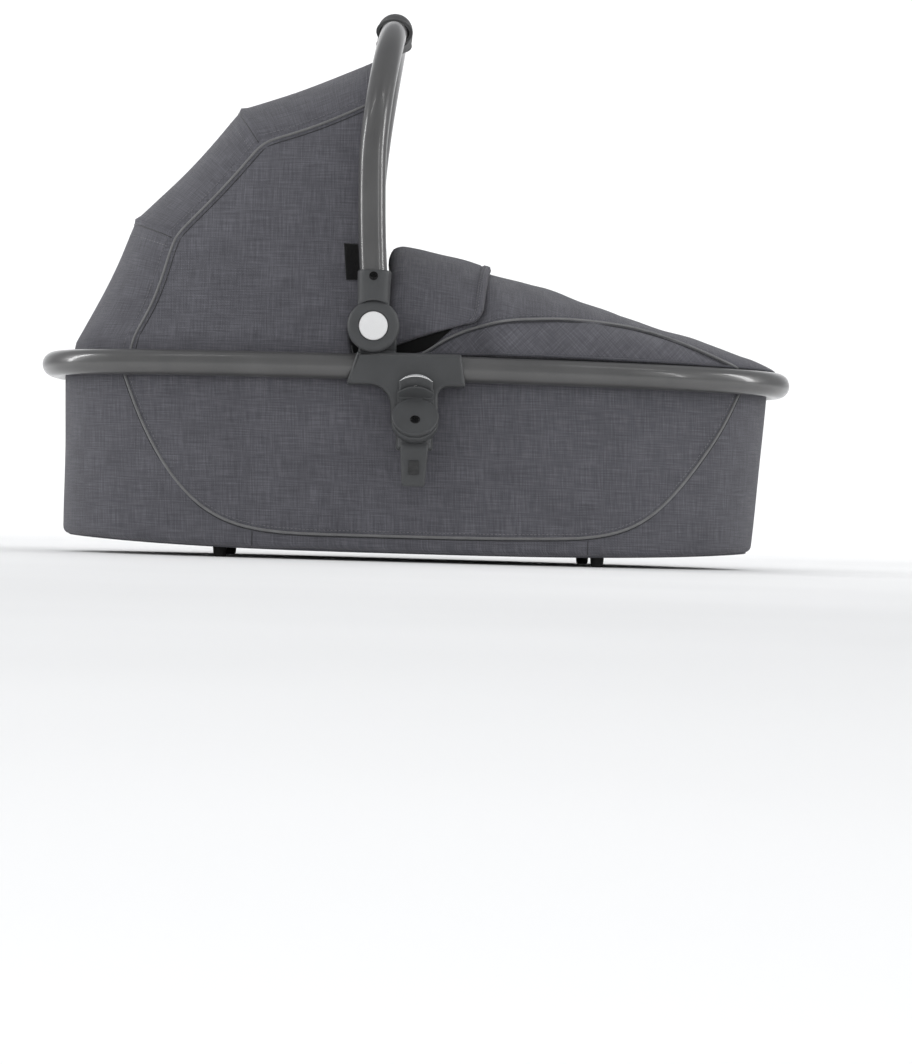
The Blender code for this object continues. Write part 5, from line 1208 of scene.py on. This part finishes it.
def piped_seam(name, end, body, across, lines, radius, tilts):
    """Piping on one side, with the shadow of its seam and a row of stitches.

    lines holds, for each of the three, a curve in X and Z, how far it stands off the cloth and how
    far it is raised. across gives the distance across to the cloth, and tilts the rise of the
    directions that steady the cords and the stitches.
    """
    side = SIDES[end]
    cord, seam, row = [np.array([(x, side * (across(x, z) + lift), z + rise) for x, z in curve])
                       for curve, lift, rise in lines]
    up = (0, side, tilts[0])
    square = unit(np.tile((0.0, side, tilts[1]), (len(row), 1)))
    for piece in (sweep(f"{name}_{end}", cord, radius, PIPING, up),
                  sweep(f"{name}_seam_{end}", seam, SEAM_RADIUS, SEAM, up, 6),
                  stitches(f"{name}_stitches_{end}", row, square)):
        ride_and_slot(piece, body)


def make_body():
    """Fabric body with piping, seams and hem."""
    grid = body_grid()
    turn = np.linspace(0, 1, grid.shape[1], endpoint=False)[None, :]
    down = np.linspace(0, 1, grid.shape[0])[:, None]
    relief = ripples(turn, down, ((0.00035, 3, 0.7, 0.4), (0.00030, 7, -0.6, 2.1), (0.00022, 13, 1.1, 4.0),
                                  (0.00014, 23, 1.9, 1.0)))
    near = np.exp(-((grid[..., 0] - ADAPTER_X) / 0.055) ** 2)
    relief = relief - 0.0009 * near * np.sin(math.pi * np.clip(down, 0, 0.8) / 0.8)
    cover = cloth("body_cover_fabric", grid, FABRIC, 0.0002, CLOTH, 0.0012, True, relief)[0]
    ride_and_slot(cover, "cot", "body_cover")
    curve = plane_curve(BODY_PIPING, 170)
    lines = ((curve, 0.0010, 0.0), (offset_in_plane(curve, -0.0024), 0.0002, 0.0),
             (offset_in_plane(curve, 0.0046), 0.0003, 0.0))
    for end, side in SIDES.items():
        piped_seam("body_piping", end, "cot", body_side, lines, 0.0016, (0.25, 0.15))
        for index, x in enumerate((-0.1790, 0.1920)):
            heights = np.linspace(0.0295, base_height(x) + 0.0005, 14)
            path = [(x, side * (body_side(x, z) + 0.0001), z) for z in heights]
            line = sweep(f"body_side_seam_{index}_{end}", path, SEAM_RADIUS, SEAM, (1, 0, 0), sides=6)
            ride_and_slot(line, "cot")
    path = grid[WALL_ROWS + CORNER_ROWS - 1] + np.array((0, 0, -0.0002))
    binding = sweep("body_lower_binding", path, 0.0013, HEM, (0, 0, 1), sides=8, closed=True)
    ride_and_slot(binding, "cot")


def offset_in_plane(curve, distance):
    """A plane curve moved to its left."""
    ahead = unit(np.gradient(curve, axis=0))
    left = np.stack((-ahead[:, 1], ahead[:, 0]), axis=1)
    return curve + left * distance


def make_liner():
    """Padded lining with upright quilting channels and a rolled top edge."""
    columns = 420
    turns = even_turns(columns + 1, WALL_REACH, WALL_REACH, WALL_SIDE)[:-1]
    line = np.linspace(0, 1, columns, endpoint=False)
    pad = np.abs(np.sin(math.pi * LINER_CHANNELS * line)) ** 0.55
    rows = []

    def add_row(depth, share, z):
        x, y = wall_plan(turns, depth, share)
        rows.append(np.stack((x, y, np.full(columns, z)), axis=1))

    # outer face up, over the rolled edge, then down the padded inner face
    for z in np.linspace(0.030, 0.2000, 16):
        add_row(0.0066, (WALL_TOP - z) / (WALL_TOP - 0.018), z)
    for angle in np.radians(np.linspace(0, 180, 12)):
        add_row(0.0066 + 0.0042 * (1 - math.cos(angle)), 0.0, 0.2020 + 0.0050 * math.sin(angle))
    for z in np.linspace(0.1975, 0.052, 34):
        fade = ease((0.1975 - z) / 0.012) * (1 - 0.4 * ease((0.075 - z) / 0.02))
        dip = 0.55 * np.exp(-((z - 0.150) / 0.004) ** 2) + 0.55 * np.exp(-((z - 0.105) / 0.004) ** 2)
        depth = 0.0118 + 0.0062 * fade * pad * (1 - dip)
        add_row(depth, (WALL_TOP - z) / (WALL_TOP - 0.018), z)
    for share in np.linspace(0, 1, 5)[1:]:
        add_row(0.0122 + 0.020 * share, 0.9, 0.052 - 0.019 * share)
    points = np.array(rows)
    metres = grid_metres(points, True)
    count = len(rows)
    uvs = []
    for i in range(count):
        for j in range(columns):
            low = metres[i, j, 1]
            high = metres[i + 1, j, 1] if i + 1 < count else low + 0.01
            uvs += [(metres[i, j, 0], low), (metres[i, j + 1, 0], low),
                    (metres[i, j + 1, 0], high), (metres[i, j, 0], high)]
    faces = ring_faces(count, columns, closed=True)
    liner = outward(new_piece("liner_quilted", points.reshape(-1, 3), faces, LINING, uvs))
    ride_and_slot(liner, "cot", "inner_liner")
    x, y = wall_plan(turns, 0.0108, 0.0)
    path = resample(np.column_stack((x, y, np.full(columns, 0.2072))), 300)[:-1]
    welt = sweep("liner_welt", path, 0.0016, PIPING, (0, 0, 1), sides=8, closed=True)
    ride_and_slot(welt, "cot")


def make_mattress():
    """Quilted mattress with a crowned top, drawn-in sides and piped edges."""
    low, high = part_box("mattress")
    bottom, top = low.z, high.z
    head, foot, side = -low.x, high.x, high.y
    columns = 220
    turns = even_turns(columns + 1, head, foot, side)[:-1]
    rows = [np.array([(0.0, 0.0, bottom)] * columns)]
    for share in np.linspace(0.12, 0.97, 10):
        x, y = egg(turns, head * share, foot * share, side * share)
        rows.append(np.column_stack((x, y, np.full(columns, bottom))))
    wall = ((0.985, 0.0006), (0.997, 0.0030), (1.0, 0.0060), (0.992, 0.0105), (0.986, 0.0150),
            (0.986, 0.0190), (0.992, 0.0235), (1.0, 0.0275), (0.998, 0.0300), (0.988, 0.0320))
    for share, rise in wall:
        x, y = egg(turns, head - (1 - share) * side, foot - (1 - share) * side, side * share)
        rows.append(np.column_stack((x, y, np.full(columns, bottom + rise))))
    for share in np.linspace(0.97, 0.0, 60):
        x, y = egg(turns, head * share, foot * share, side * share)
        crown = 1 - share ** 2.6
        across = np.abs(np.sin(math.pi * (x + 2 * y) / QUILT_PITCH)) ** 0.5
        other = np.abs(np.sin(math.pi * (x - 2 * y) / QUILT_PITCH)) ** 0.5
        puff = 0.0052 * (across * other - 1) * ease((1 - share) / 0.12)
        z = bottom + 0.0330 + (top - bottom - 0.0330) * crown + puff
        rows.append(np.column_stack((x, y, z)))
    points = np.array(rows).reshape(-1, 3)
    faces = ring_faces(len(rows), columns)
    uvs = [(points[v, 0], points[v, 1] + 2.0 * points[v, 2]) for face in faces for v in face]
    piece = outward(weld(new_piece("mattress_quilted", points, faces, TICKING, uvs)))
    ride_and_slot(piece, "cot", "mattress")
    for index, rise in enumerate((0.0030, 0.0302)):
        x, y = egg(turns, head + 0.0004, foot + 0.0004, side + 0.0004)
        path = np.column_stack((x, y, np.full(columns, bottom + rise)))
        cord = sweep(f"mattress_piping_{index}", path, 0.0014, TICKING, (0, 0, 1), sides=8, closed=True)
        ride_and_slot(cord, "cot")


def weld(piece):
    """Merge points that lie in one place."""
    return edit_mesh(
        piece, lambda shape: bmesh.ops.remove_doubles(shape, verts=shape.verts, dist=WELD_DISTANCE))


def hood_radius(angle):
    """Reach of the hood's crown at an angle from upright."""
    for (a0, r0), (a1, r1) in zip(HOOD_STATIONS, HOOD_STATIONS[1:]):
        if angle <= a1 + 1e-5:
            break
    span = math.radians(a1 - a0)
    share = (angle - a0) / (a1 - a0)
    into = math.radians(angle - a0)
    chord = r0 * r1 * math.sin(span) / (r0 * math.sin(into) + r1 * math.sin(span - into))
    return chord - HOOD_SAG * math.sin(math.pi * share)


def hood_bow(reach, count):
    """A bow of the hood: (reach from the hub axis, distance across) pairs."""
    power = 2 / HOOD_SQUARE
    turns = np.linspace(0.0, math.pi / 2, 1500)
    r = reach * np.sin(turns) ** power
    y = -HOOD_HALF_WIDTH * np.cos(turns) ** power
    keep = r > HOOD_START
    ratio = (HOOD_START / reach) ** HOOD_SQUARE
    r = np.concatenate(([HOOD_START], r[keep]))
    y = np.concatenate(([-HOOD_HALF_WIDTH * (1 - ratio) ** (1 / HOOD_SQUARE)], y[keep]))
    half = resample(np.stack((r, y), axis=1), count // 2 + 1)
    return np.concatenate((half, half[-2::-1] * (1, -1)))


def rim_bow(count, start_x):
    """The hood's lower edge along the rim."""
    reach = RIM_REACH - HOOD_INSET
    turns = np.linspace(math.pi / 2, math.pi, 3000)
    x, y = egg(turns, reach, reach, HOOD_HALF_WIDTH)
    keep = x <= start_x
    half = resample(np.stack((x[keep], -y[keep]), axis=1), count // 2 + 1)
    return np.concatenate((half, half[-2::-1] * (1, -1)))


def hood_grid():
    """Outer face of the hood, from its front edge back and down to the rim."""
    front, rear = RIB_ANGLES
    angles = np.concatenate((np.linspace(0, front, 26), np.linspace(front, rear, 28)[1:],
                             np.linspace(rear, HOOD_END, 24)[1:]))
    low = rim_bow(HOOD_COLUMNS, HUB_X - HOOD_START)
    rows = []
    for angle in angles:
        bow = hood_bow(hood_radius(angle), HOOD_COLUMNS)
        if angle > rear:
            share = float(ease((angle - rear) / (HOOD_END - rear)))
            tip = HUB_X - low[len(low) // 2][0]
            flat = np.stack(((HUB_X - low[:, 0]) * hood_radius(angle) / tip, low[:, 1]), axis=1)
            bow = bow + (flat - bow) * share
        turn = math.radians(angle)
        rows.append(np.stack((HUB_X - bow[:, 0] * math.sin(turn), bow[:, 1],
                              HUB_Z + bow[:, 0] * math.cos(turn)), axis=1))
    edge = rim_bow(HOOD_COLUMNS, HOOD_CORNER_X)
    last = np.column_stack((edge, np.full(len(edge), HOOD_BOTTOM)))
    start = rows[-1]
    for share in np.linspace(0, 1, 7)[1:]:
        rows.append(start + (last - start) * share)
    angles = np.concatenate((angles, np.linspace(HOOD_END + 1, HOOD_END + 6, 6)))
    return facing_out(np.array(rows), (HUB_X - 0.1, 0, HUB_Z)), angles


def piping_share(angle):
    """Distance across of the hood's side piping at an angle."""
    return 0.1425 - 0.0155 * float(ease((angle - RIB_ANGLES[1]) / 30.0))


def column_at(row, across):
    """Fraction of a row's columns where it passes a distance across."""
    y = row[:, 1]
    if y[0] > y[-1]:
        return len(y) - 1 - np.interp(across, y[::-1], np.arange(len(y)))
    return float(np.interp(across, y, np.arange(len(y))))


def make_hood():
    """Folding hood: one curved sheet with rib pockets, seams, side piping and a bound front."""
    grid, angles = hood_grid()
    columns = np.arange(grid.shape[1])
    left = np.array([column_at(row, -piping_share(a)) for row, a in zip(grid, angles)])
    right = np.array([column_at(row, piping_share(a)) for row, a in zip(grid, angles)])
    lower = np.minimum(left, right)[:, None]
    upper = np.maximum(left, right)[:, None]
    band = np.clip(np.minimum(columns[None] - lower, upper - columns[None]) / 3.0, 0.0, 1.0)
    reach = np.array([hood_radius(min(a, HOOD_END)) for a in angles])[:, None]
    relief = np.zeros(grid.shape[:2])
    for station in RIB_ANGLES:
        off = np.radians(angles[:, None] - station) * reach
        relief += band * 0.0018 * np.exp(-(off / 0.0042) ** 2)
        relief -= band * 0.0010 * np.exp(-((off - 0.0085) / 0.0022) ** 2)
    share = angles[:, None] / HOOD_END
    across = columns[None] / columns[-1]
    relief += ripples(across, share, ((0.0005, 2.0, 1.4, 0.3), (0.0004, 4.3, -2.2, 1.7),
                                      (0.0003, 8.1, 2.9, 3.1)))
    relief -= (1 - band) * 0.0012 * np.sin(math.pi * np.clip(share, 0, 1)) ** 0.7
    relief += 0.0006 * np.exp(-((angles[:, None] * math.pi / 180 * reach) / 0.012) ** 4)
    marks = grid_metres(grid, False)
    middle = grid.shape[1] // 2
    marks[..., 1] = marks[:, middle:middle + 1, 1].copy()
    panel = (band[:-1, :-1] + band[1:, 1:]) / 2 < 0.5
    canopy, top, normals = cloth("hood_canopy_fabric", grid, FABRIC, 0.0004, CLOTH, 0.0018, False, relief,
                                 marks, panel, grid[..., (0, 2)])
    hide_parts("hood_canopy")
    fold(canopy)

    def on_hood(row, column, lift):
        return on_grid(top, normals, np.broadcast_to(row, np.shape(column)), column, lift)

    rows = np.arange(len(angles))
    for name, line in (("l", left), ("r", right)):
        up = (0, SIDES[name], 0.6)
        path = resample(smoothed(on_hood(rows, line, 0.0006)[0], 6), 120)
        fold(sweep(f"hood_piping_{name}", path, 0.0015, PIPING, up))
        step = 1.0 if line[0] < len(columns) / 2 else -1.0
        path = smoothed(on_hood(rows, line - step * 1.25, 0.0002)[0], 4)
        fold(sweep(f"hood_piping_seam_{name}", path, SEAM_RADIUS, SEAM, up, 6))
        path, square = on_hood(rows, line + step * 2.2, 0.0002)
        fold(stitches(f"hood_piping_stitches_{name}", smoothed(path, 4), square))
    for index, station in enumerate(RIB_ANGLES):
        row = float(np.interp(station, angles, rows)) + 0.9
        line = np.linspace(lower[int(row), 0] + 1, upper[int(row), 0] - 1, 90)
        path, square = on_hood(row, line, 0.0001)
        fold(sweep(f"hood_rib_seam_{index}", path, SEAM_RADIUS, SEAM, square, 6))
        fold(stitches(f"hood_rib_stitches_{index}", *on_hood(row + 2.1, line, 0.0001)))
    line = np.linspace(1.5, grid.shape[1] - 2.5, 300)
    for index, row in enumerate((1.2, 2.4)):
        fold(stitches(f"hood_front_stitches_{index}", *on_hood(row, line, 0.0002)))
    path = on_hood(0.15, line, -0.0006)[0]
    fold(sweep("hood_front_binding", path, 0.0019, HEM, (1, 0, 0), 10))


def make_ribs():
    """Spring-steel ribs, drawn in from the CAD ones to lie against the cloth."""
    for name, body in (("hood_rib_front", "rib_front"), ("hood_rib_rear", "rib_rear")):
        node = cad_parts[name]
        points = np.array([node.matrix_world @ v.co for v in node.data.vertices])
        faces = [list(face.vertices) for face in node.data.polygons]
        away = points[:, (0, 2)] - (HUB_X, HUB_Z)
        reach = np.linalg.norm(away, axis=1)
        share = 1 - RIB_DRAW * ease((reach - 0.05) / 0.10)
        points[:, (0, 2)] = (HUB_X, HUB_Z) + away * share[:, None]
        fold(new_piece(f"{name}_spring", points, faces, BLACK_STEEL))
        near = points[reach < 0.016, 1]
        for end, side in SIDES.items():
            place = (HUB_X, float(np.mean(near[near * side > 0])), HUB_Z)
            eye = lathe(f"{name}_eye_{end}", RIB_EYE, place, (0, side, 0), BLACK_STEEL)
            ride_and_slot(eye, body, name if end == "l" else None)


def fold(piece):
    """Bake a piece's placement into its mesh, where it stays."""
    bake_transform(piece)


def make_tab():
    """Bare ribbon tab caught in the hood's front seam."""
    low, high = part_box("hood_tab")
    rows = []
    for share in np.linspace(0, 1, 14):
        x = high.x + (low.x - high.x) * share
        bend = 0.0005 * math.sin(math.pi * share)
        rows.append([(x + 0.0034 * (0.6 - s), high.y - 0.0006 - bend, low.z + (high.z - low.z) * s)
                     for s in np.linspace(0, 1, 24)])
    grid = facing_out(np.array(rows), (-0.08, 0, 0.33))
    tab = cloth("hood_tab_ribbon", grid, LABEL, 0.0005, 0.0005, 0.0006)[0]
    fold(tab)
    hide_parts("hood_tab")


def apron_inset(x):
    """How far the apron's edge lies inside the rim's centre line."""
    share = float(ease((x - 0.058) / 0.032))
    return 0.0275 + (0.005 - 0.0275) * share


def apron_crest(x):
    """Height of the apron along its middle above its lower edge."""
    share = (x - APRON_HEAD_X) / (APRON_END_X - APRON_HEAD_X)
    offsets = np.linspace(-0.035, 0.035, 9)
    places = np.clip(share + offsets, 0, 1)
    table = np.array(APRON_CREST)
    value = float(np.mean(np.interp(places, table[:, 0], table[:, 1])))
    if share > 0.965:
        value = float(np.interp(share, table[:, 0], table[:, 1]))
    drop = 0.006 * max(0.0, 1 - (x - APRON_HEAD_X) / 0.014) ** 2
    lift = 0.0020 * math.exp(-((x - APRON_HEAD_X) / 0.030) ** 2)
    settle = 0.0024 * math.exp(-((x - 0.11) / 0.060) ** 2)
    return APRON_HIGH * value + lift - settle - drop


def apron_half(x):
    """Half the apron's width at its lower edge."""
    deep = apron_inset(x)
    reach = RIM_REACH - deep
    return half_width(x, reach, reach, RIM_SIDE - deep)


def apron_row(x, lift, count, drop=1.0):
    """Points across the apron at one place along X."""
    power = 2 / APRON_SQUARE
    first = math.asin((1 - drop) ** (APRON_SQUARE / 2))
    turns = np.linspace(first, math.pi - first, 1200)
    c, s = np.cos(turns), np.sin(turns)
    wide, high = apron_half(x) + lift, apron_crest(x) + lift
    line = np.stack((-wide * np.sign(c) * np.abs(c) ** power, APRON_EDGE_Z + high * s ** power), axis=1)
    line = resample(line, count)
    return np.column_stack((np.full(count, x), line))


APRON_PIPING = ((-0.0100, 0.2220), (0.0086, 0.2334), (0.0270, 0.2465), (0.0495, 0.2573), (0.0760, 0.2650),
                (0.1013, 0.2699), (0.1522, 0.2732), (0.1900, 0.2725), (0.2301, 0.2693), (0.2650, 0.2620),
                (0.2952, 0.2520), (0.3300, 0.2390), (0.3611, 0.2267))


def apron_face(x, z):
    """Distance across to the outer face of the apron's cloth at a place along X and a height."""
    high = apron_crest(x) + APRON_CLOTH
    rise = min(1.0, max(0.0, (z - APRON_EDGE_Z) / high))
    s = rise ** (APRON_SQUARE / 2)
    return (apron_half(x) + APRON_CLOTH) * (1 - s * s) ** (1 / APRON_SQUARE)


# Painted shadow under the flap: for each place along X, the low and high edge of a near-black band on the
# apron
SHADOW_BAND = ((-0.0300, 0.2285, 0.2440), (-0.0200, 0.2290, 0.2475), (-0.0050, 0.2300, 0.2520),
          (0.0062, 0.2342, 0.2560), (0.0140, 0.2395, 0.2590), (0.0220, 0.2465, 0.2620),
          (0.0300, 0.2540, 0.2650), (0.0380, 0.2615, 0.2680), (0.0440, 0.2680, 0.2700))


def make_painted_shadow(end, side):
    """Near-black sheet on the apron: painted shadow under the flap's lower edge."""
    table = np.array(SHADOW_BAND)
    rows = []
    for x in np.linspace(table[0, 0], table[-1, 0], 60):
        low, high = [float(np.interp(x, table[:, 0], table[:, k])) for k in (1, 2)]
        rows.append([(x, side * (apron_face(x, z) + 0.0019), z) for z in np.linspace(low, high, 12)])
    grid = facing_out(np.array(rows), (0.0, 0.0, 0.24))
    return cloth(f"apron_painted_shadow_{end}", grid, SHADOW_BAND_CLOTH, 0.0003, 0.0004, 0.0008)[0]


def make_apron():
    """Domed apron with side panels, piping and a hem on the rim."""
    near_foot = APRON_FOOT_X + APRON_FOOT_REACH * np.sin(np.linspace(0, math.pi / 2, 34))[1:]
    places = np.concatenate((np.linspace(APRON_HEAD_X, APRON_FOOT_X, 62), near_foot))
    grid = np.array([apron_row(x, 0.0, APRON_COLUMNS) for x in places])
    grid = facing_out(grid, (0.15, 0, 0.15))
    curve = plane_curve(APRON_PIPING, 140)
    height = np.interp(grid[..., 0], curve[:, 0], curve[:, 1], left=0.0, right=0.0)
    panel = grid[..., 2] < height
    along = (places - places[0])[:, None] / (places[-1] - places[0])
    across = np.linspace(0, 1, APRON_COLUMNS)[None, :]
    relief = ripples(along, across, ((0.0006, 2.2, 1.0, 0.2), (0.0005, 4.6, -1.7, 1.1),
                                     (0.0003, 9.0, 3.0, 2.2), (0.0004, 1.2, 4.0, 5.1)))
    relief = relief * np.clip((1 - along) / 0.08, 0, 1) - 0.0006 * panel
    marks = grid_metres(grid, False)
    middle = APRON_COLUMNS // 2
    marks[..., 1] = marks[:, middle:middle + 1, 1].copy()
    bias = np.stack((grid[..., 0] - grid[..., 2], grid[..., 0] + grid[..., 2]), axis=2) * 0.7071
    apron, top, _ = cloth("apron_fabric", grid, FABRIC, APRON_CLOTH, 0.0, 0.0018, False, relief, marks,
                          panel[:-1, :-1], bias)
    # the near-black sheets on each side are painted shadow under the flap
    apron = join(apron, *[make_painted_shadow(end, side) for end, side in SIDES.items()])
    ride_and_slot(apron, "cover", "apron")
    inside = curve[curve[:, 1] > APRON_EDGE_Z + 0.0008]
    under = offset_in_plane(inside, -0.0023)
    under = under[under[:, 1] > APRON_EDGE_Z + 0.0005]
    lines = ((inside, 0.0008, 0.0004), (under, 0.0001, 0.0), (offset_in_plane(inside, 0.0045), 0.0002, 0.0))
    for end in SIDES:
        piped_seam("apron_piping", end, "cover", apron_face, lines, 0.0015, (0.5, 0.5))
    edge = resample(np.concatenate((top[2:, 1], top[-1:, middle], top[:1:-1, -2])), 260)
    binding = sweep("apron_edge_binding", edge, 0.0016, HEM, (0, 0, 1), sides=8)
    ride_and_slot(binding, "cover")


def flap_drop(share):
    """How far down the sides the flap reaches, as a share of its height."""
    return 0.925 + (0.695 - 0.925) * share


def make_flap():
    """Wind flap folded back over the apron, with a double-stitched hem."""
    across = np.linspace(0, 1, FLAP_COLUMNS)
    side_share = np.minimum(across, 1 - across) * 2
    corner = 0.016 * (1 - np.sqrt(1 - (1 - np.clip(side_share / 0.11, 0, 1)) ** 2))
    ends = 0.0668 + 0.0140 * np.sin(math.pi * across) - corner
    flare = 0.0045 * (1 - ease(side_share / 0.30))
    rows = []
    # the rounded lip over the apron's head edge, then the sheet back over the apron
    for angle in np.radians((-60, -35, -10, 15, 40, 62)):
        x = FLAP_LIP_X - FLAP_LIP_RADIUS * math.cos(angle)
        lift = -0.0010 + FLAP_LIP_RADIUS * math.sin(angle)
        row = apron_row(max(x, APRON_HEAD_X), 0.0, FLAP_COLUMNS, flap_drop(0.0))
        up = np.stack((np.zeros(FLAP_COLUMNS), row[:, 1] / 0.17, (row[:, 2] - APRON_EDGE_Z) / 0.09), axis=1)
        row = row + unit(up) * (lift + 0.0005)
        row[:, 0] = x
        rows.append(row)
    start = FLAP_LIP_X - FLAP_LIP_RADIUS * math.cos(math.radians(62))
    for share in np.linspace(0, 1, 52)[1:]:
        lifts = FLAP_LIFT - 0.0008 + flare * min(1.0, 3 * share)
        places = start + (ends - start) * share
        drop = flap_drop(share)
        rows.append(np.array([apron_row(x, lift, FLAP_COLUMNS, drop)[j]
                              for j, (x, lift) in enumerate(zip(places, lifts))]))
    grid = facing_out(np.array(rows), (0.05, 0, 0.2))
    metres = grid_metres(grid, False)
    from_end = metres[-1:, :, 1] - metres[..., 1]
    from_side = np.minimum(metres[..., 0] - metres[:, :1, 0], metres[:, -1:, 0] - metres[..., 0])
    down = np.linspace(0, 1, len(rows))[:, None]
    wave = ripples(down, across[None], ((0.0006, 0.8, 2.2, 0.5), (0.0004, 1.7, -3.6, 1.9)))
    relief = wave + 0.0017 * (1 / (1 + np.exp((from_end - 0.0095) / 0.0006)))
    relief -= 0.0009 * np.exp(-((from_end - 0.0108) / 0.0010) ** 2)
    relief += 0.0007 / (1 + np.exp((from_side - 0.0040) / 0.0005))
    flap, top, normals = cloth("wind_flap_fabric", grid, FABRIC, 0.0030, 0.0, 0.0030, False, relief)
    ride_and_slot(flap, "cover", "wind_flap")
    columns = np.linspace(2.0, FLAP_COLUMNS - 3.0, 240)
    for index, distance in enumerate((0.0055, 0.0090)):
        line = [np.interp(-distance, -from_end[:, int(round(column))], np.arange(len(rows)))
                for column in columns]
        line = smoothed(np.array(line)[:, None], 20)[:, 0]
        sewn = stitches(f"wind_flap_stitches_{index}", *on_grid(top, normals, line, columns, 0.0002))
        ride_and_slot(sewn, "cover")


# Nodes kept from the CAD model

def dress_kept_nodes():
    """Detailed materials for the CAD nodes that stay."""
    kept = {"base_tray": TRAY, "base_board": BOARD, "wall_stiffener": TRAY}
    for end in SIDES:
        for name in ("pivot_bolt", "pivot_nut", "detent_ring", "button_spring", "release_spring"):
            kept[f"{name}_{end}"] = STEEL
        kept[f"adapter_latch_{end}"] = DARK_STEEL
    for name, finish in kept.items():
        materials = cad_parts[name].data.materials
        materials.clear()
        materials.append(finish)


# Studio

def make_floor():
    """Pale floor that curves up into the backdrop."""
    paper = Finish("studio_paper", "Object", 0.85)
    paper.colour(paper.noise(1.5, 2.0), (0.3, grey(0.86)), (0.7, grey(0.90)))
    line = [(-16.0, 0.0), (FLOOR_END, 0.0)]
    for angle in np.linspace(0.0, math.pi / 2, 19)[1:]:
        line.append((FLOOR_END + SWEEP * math.sin(angle), SWEEP * (1 - math.cos(angle))))
    line.append((FLOOR_END + SWEEP, 6.0))
    across = np.linspace(-9, 9, 7)
    points = [(x, y, z) for y, z in line for x in across]
    wide = len(across)
    faces = [[a, a + 1, a + wide + 1, a + wide]
             for row in range(len(line) - 1) for a in range(row * wide, row * wide + wide - 1)]
    new_piece("studio_floor", points, faces, paper.material)


def area_light(name, place, target, size, power, mirrored):
    """A soft rectangular light aimed at a place; mirrored says whether gloss shows it."""
    data = bpy.data.lights.new(name, "AREA")
    data.shape = "RECTANGLE"
    data.size, data.size_y = size
    data.energy = power
    lamp = bpy.data.objects.new(name, data)
    lamp.location = place
    lamp.rotation_euler = (Vector(target) - Vector(place)).to_track_quat("-Z", "Y").to_euler()
    lamp.visible_glossy = mirrored
    bpy.context.scene.collection.objects.link(lamp)


def make_lights():
    """Soft studio light: a broad top light, side strips and an even surround."""
    for light in LIGHTS:
        area_light(*light)
    world = bpy.data.worlds.new("studio")
    bpy.context.scene.world = world
    world.use_nodes = True
    surround = next(n for n in world.node_tree.nodes if n.type == "BACKGROUND")
    surround.inputs["Color"].default_value = SURROUND
    surround.inputs["Strength"].default_value = SURROUND_STRENGTH


def make_camera():
    """Camera at the photograph's viewing angle."""
    ahead = np.array((-math.sin(CAMERA_YAW), math.cos(CAMERA_YAW), 0.0))
    right = np.array((math.cos(CAMERA_YAW), math.sin(CAMERA_YAW), 0.0))
    up = np.array((0.0, 0.0, 1.0))
    c, s = math.cos(CAMERA_PITCH), math.sin(CAMERA_PITCH)
    ahead, up = ahead * c + up * s, up * c - ahead * s
    c, s = math.cos(CAMERA_ROLL), math.sin(CAMERA_ROLL)
    right, up = right * c + up * s, up * c - right * s
    data = bpy.data.cameras.new("camera")
    data.sensor_width = SENSOR
    data.lens = FOCAL_PIXELS / FRAME_PIXELS * SENSOR
    data.clip_end = FARTHEST
    camera = bpy.data.objects.new("camera", data)
    turn = Matrix((right, up, -ahead)).transposed().to_4x4()
    camera.matrix_world = Matrix.Translation(CAMERA_PLACE) @ turn
    bpy.context.scene.collection.objects.link(camera)
    bpy.context.scene.camera = camera


make_rim()
make_handle()
make_hubs()
make_brackets()
make_adapters()
make_screws()
make_feet()
make_body()
make_liner()
make_mattress()
make_hood()
make_ribs()
make_tab()
make_apron()
make_flap()
dress_kept_nodes()
make_floor()
make_lights()
make_camera()
bpy.context.scene.view_settings.view_transform = "Standard"
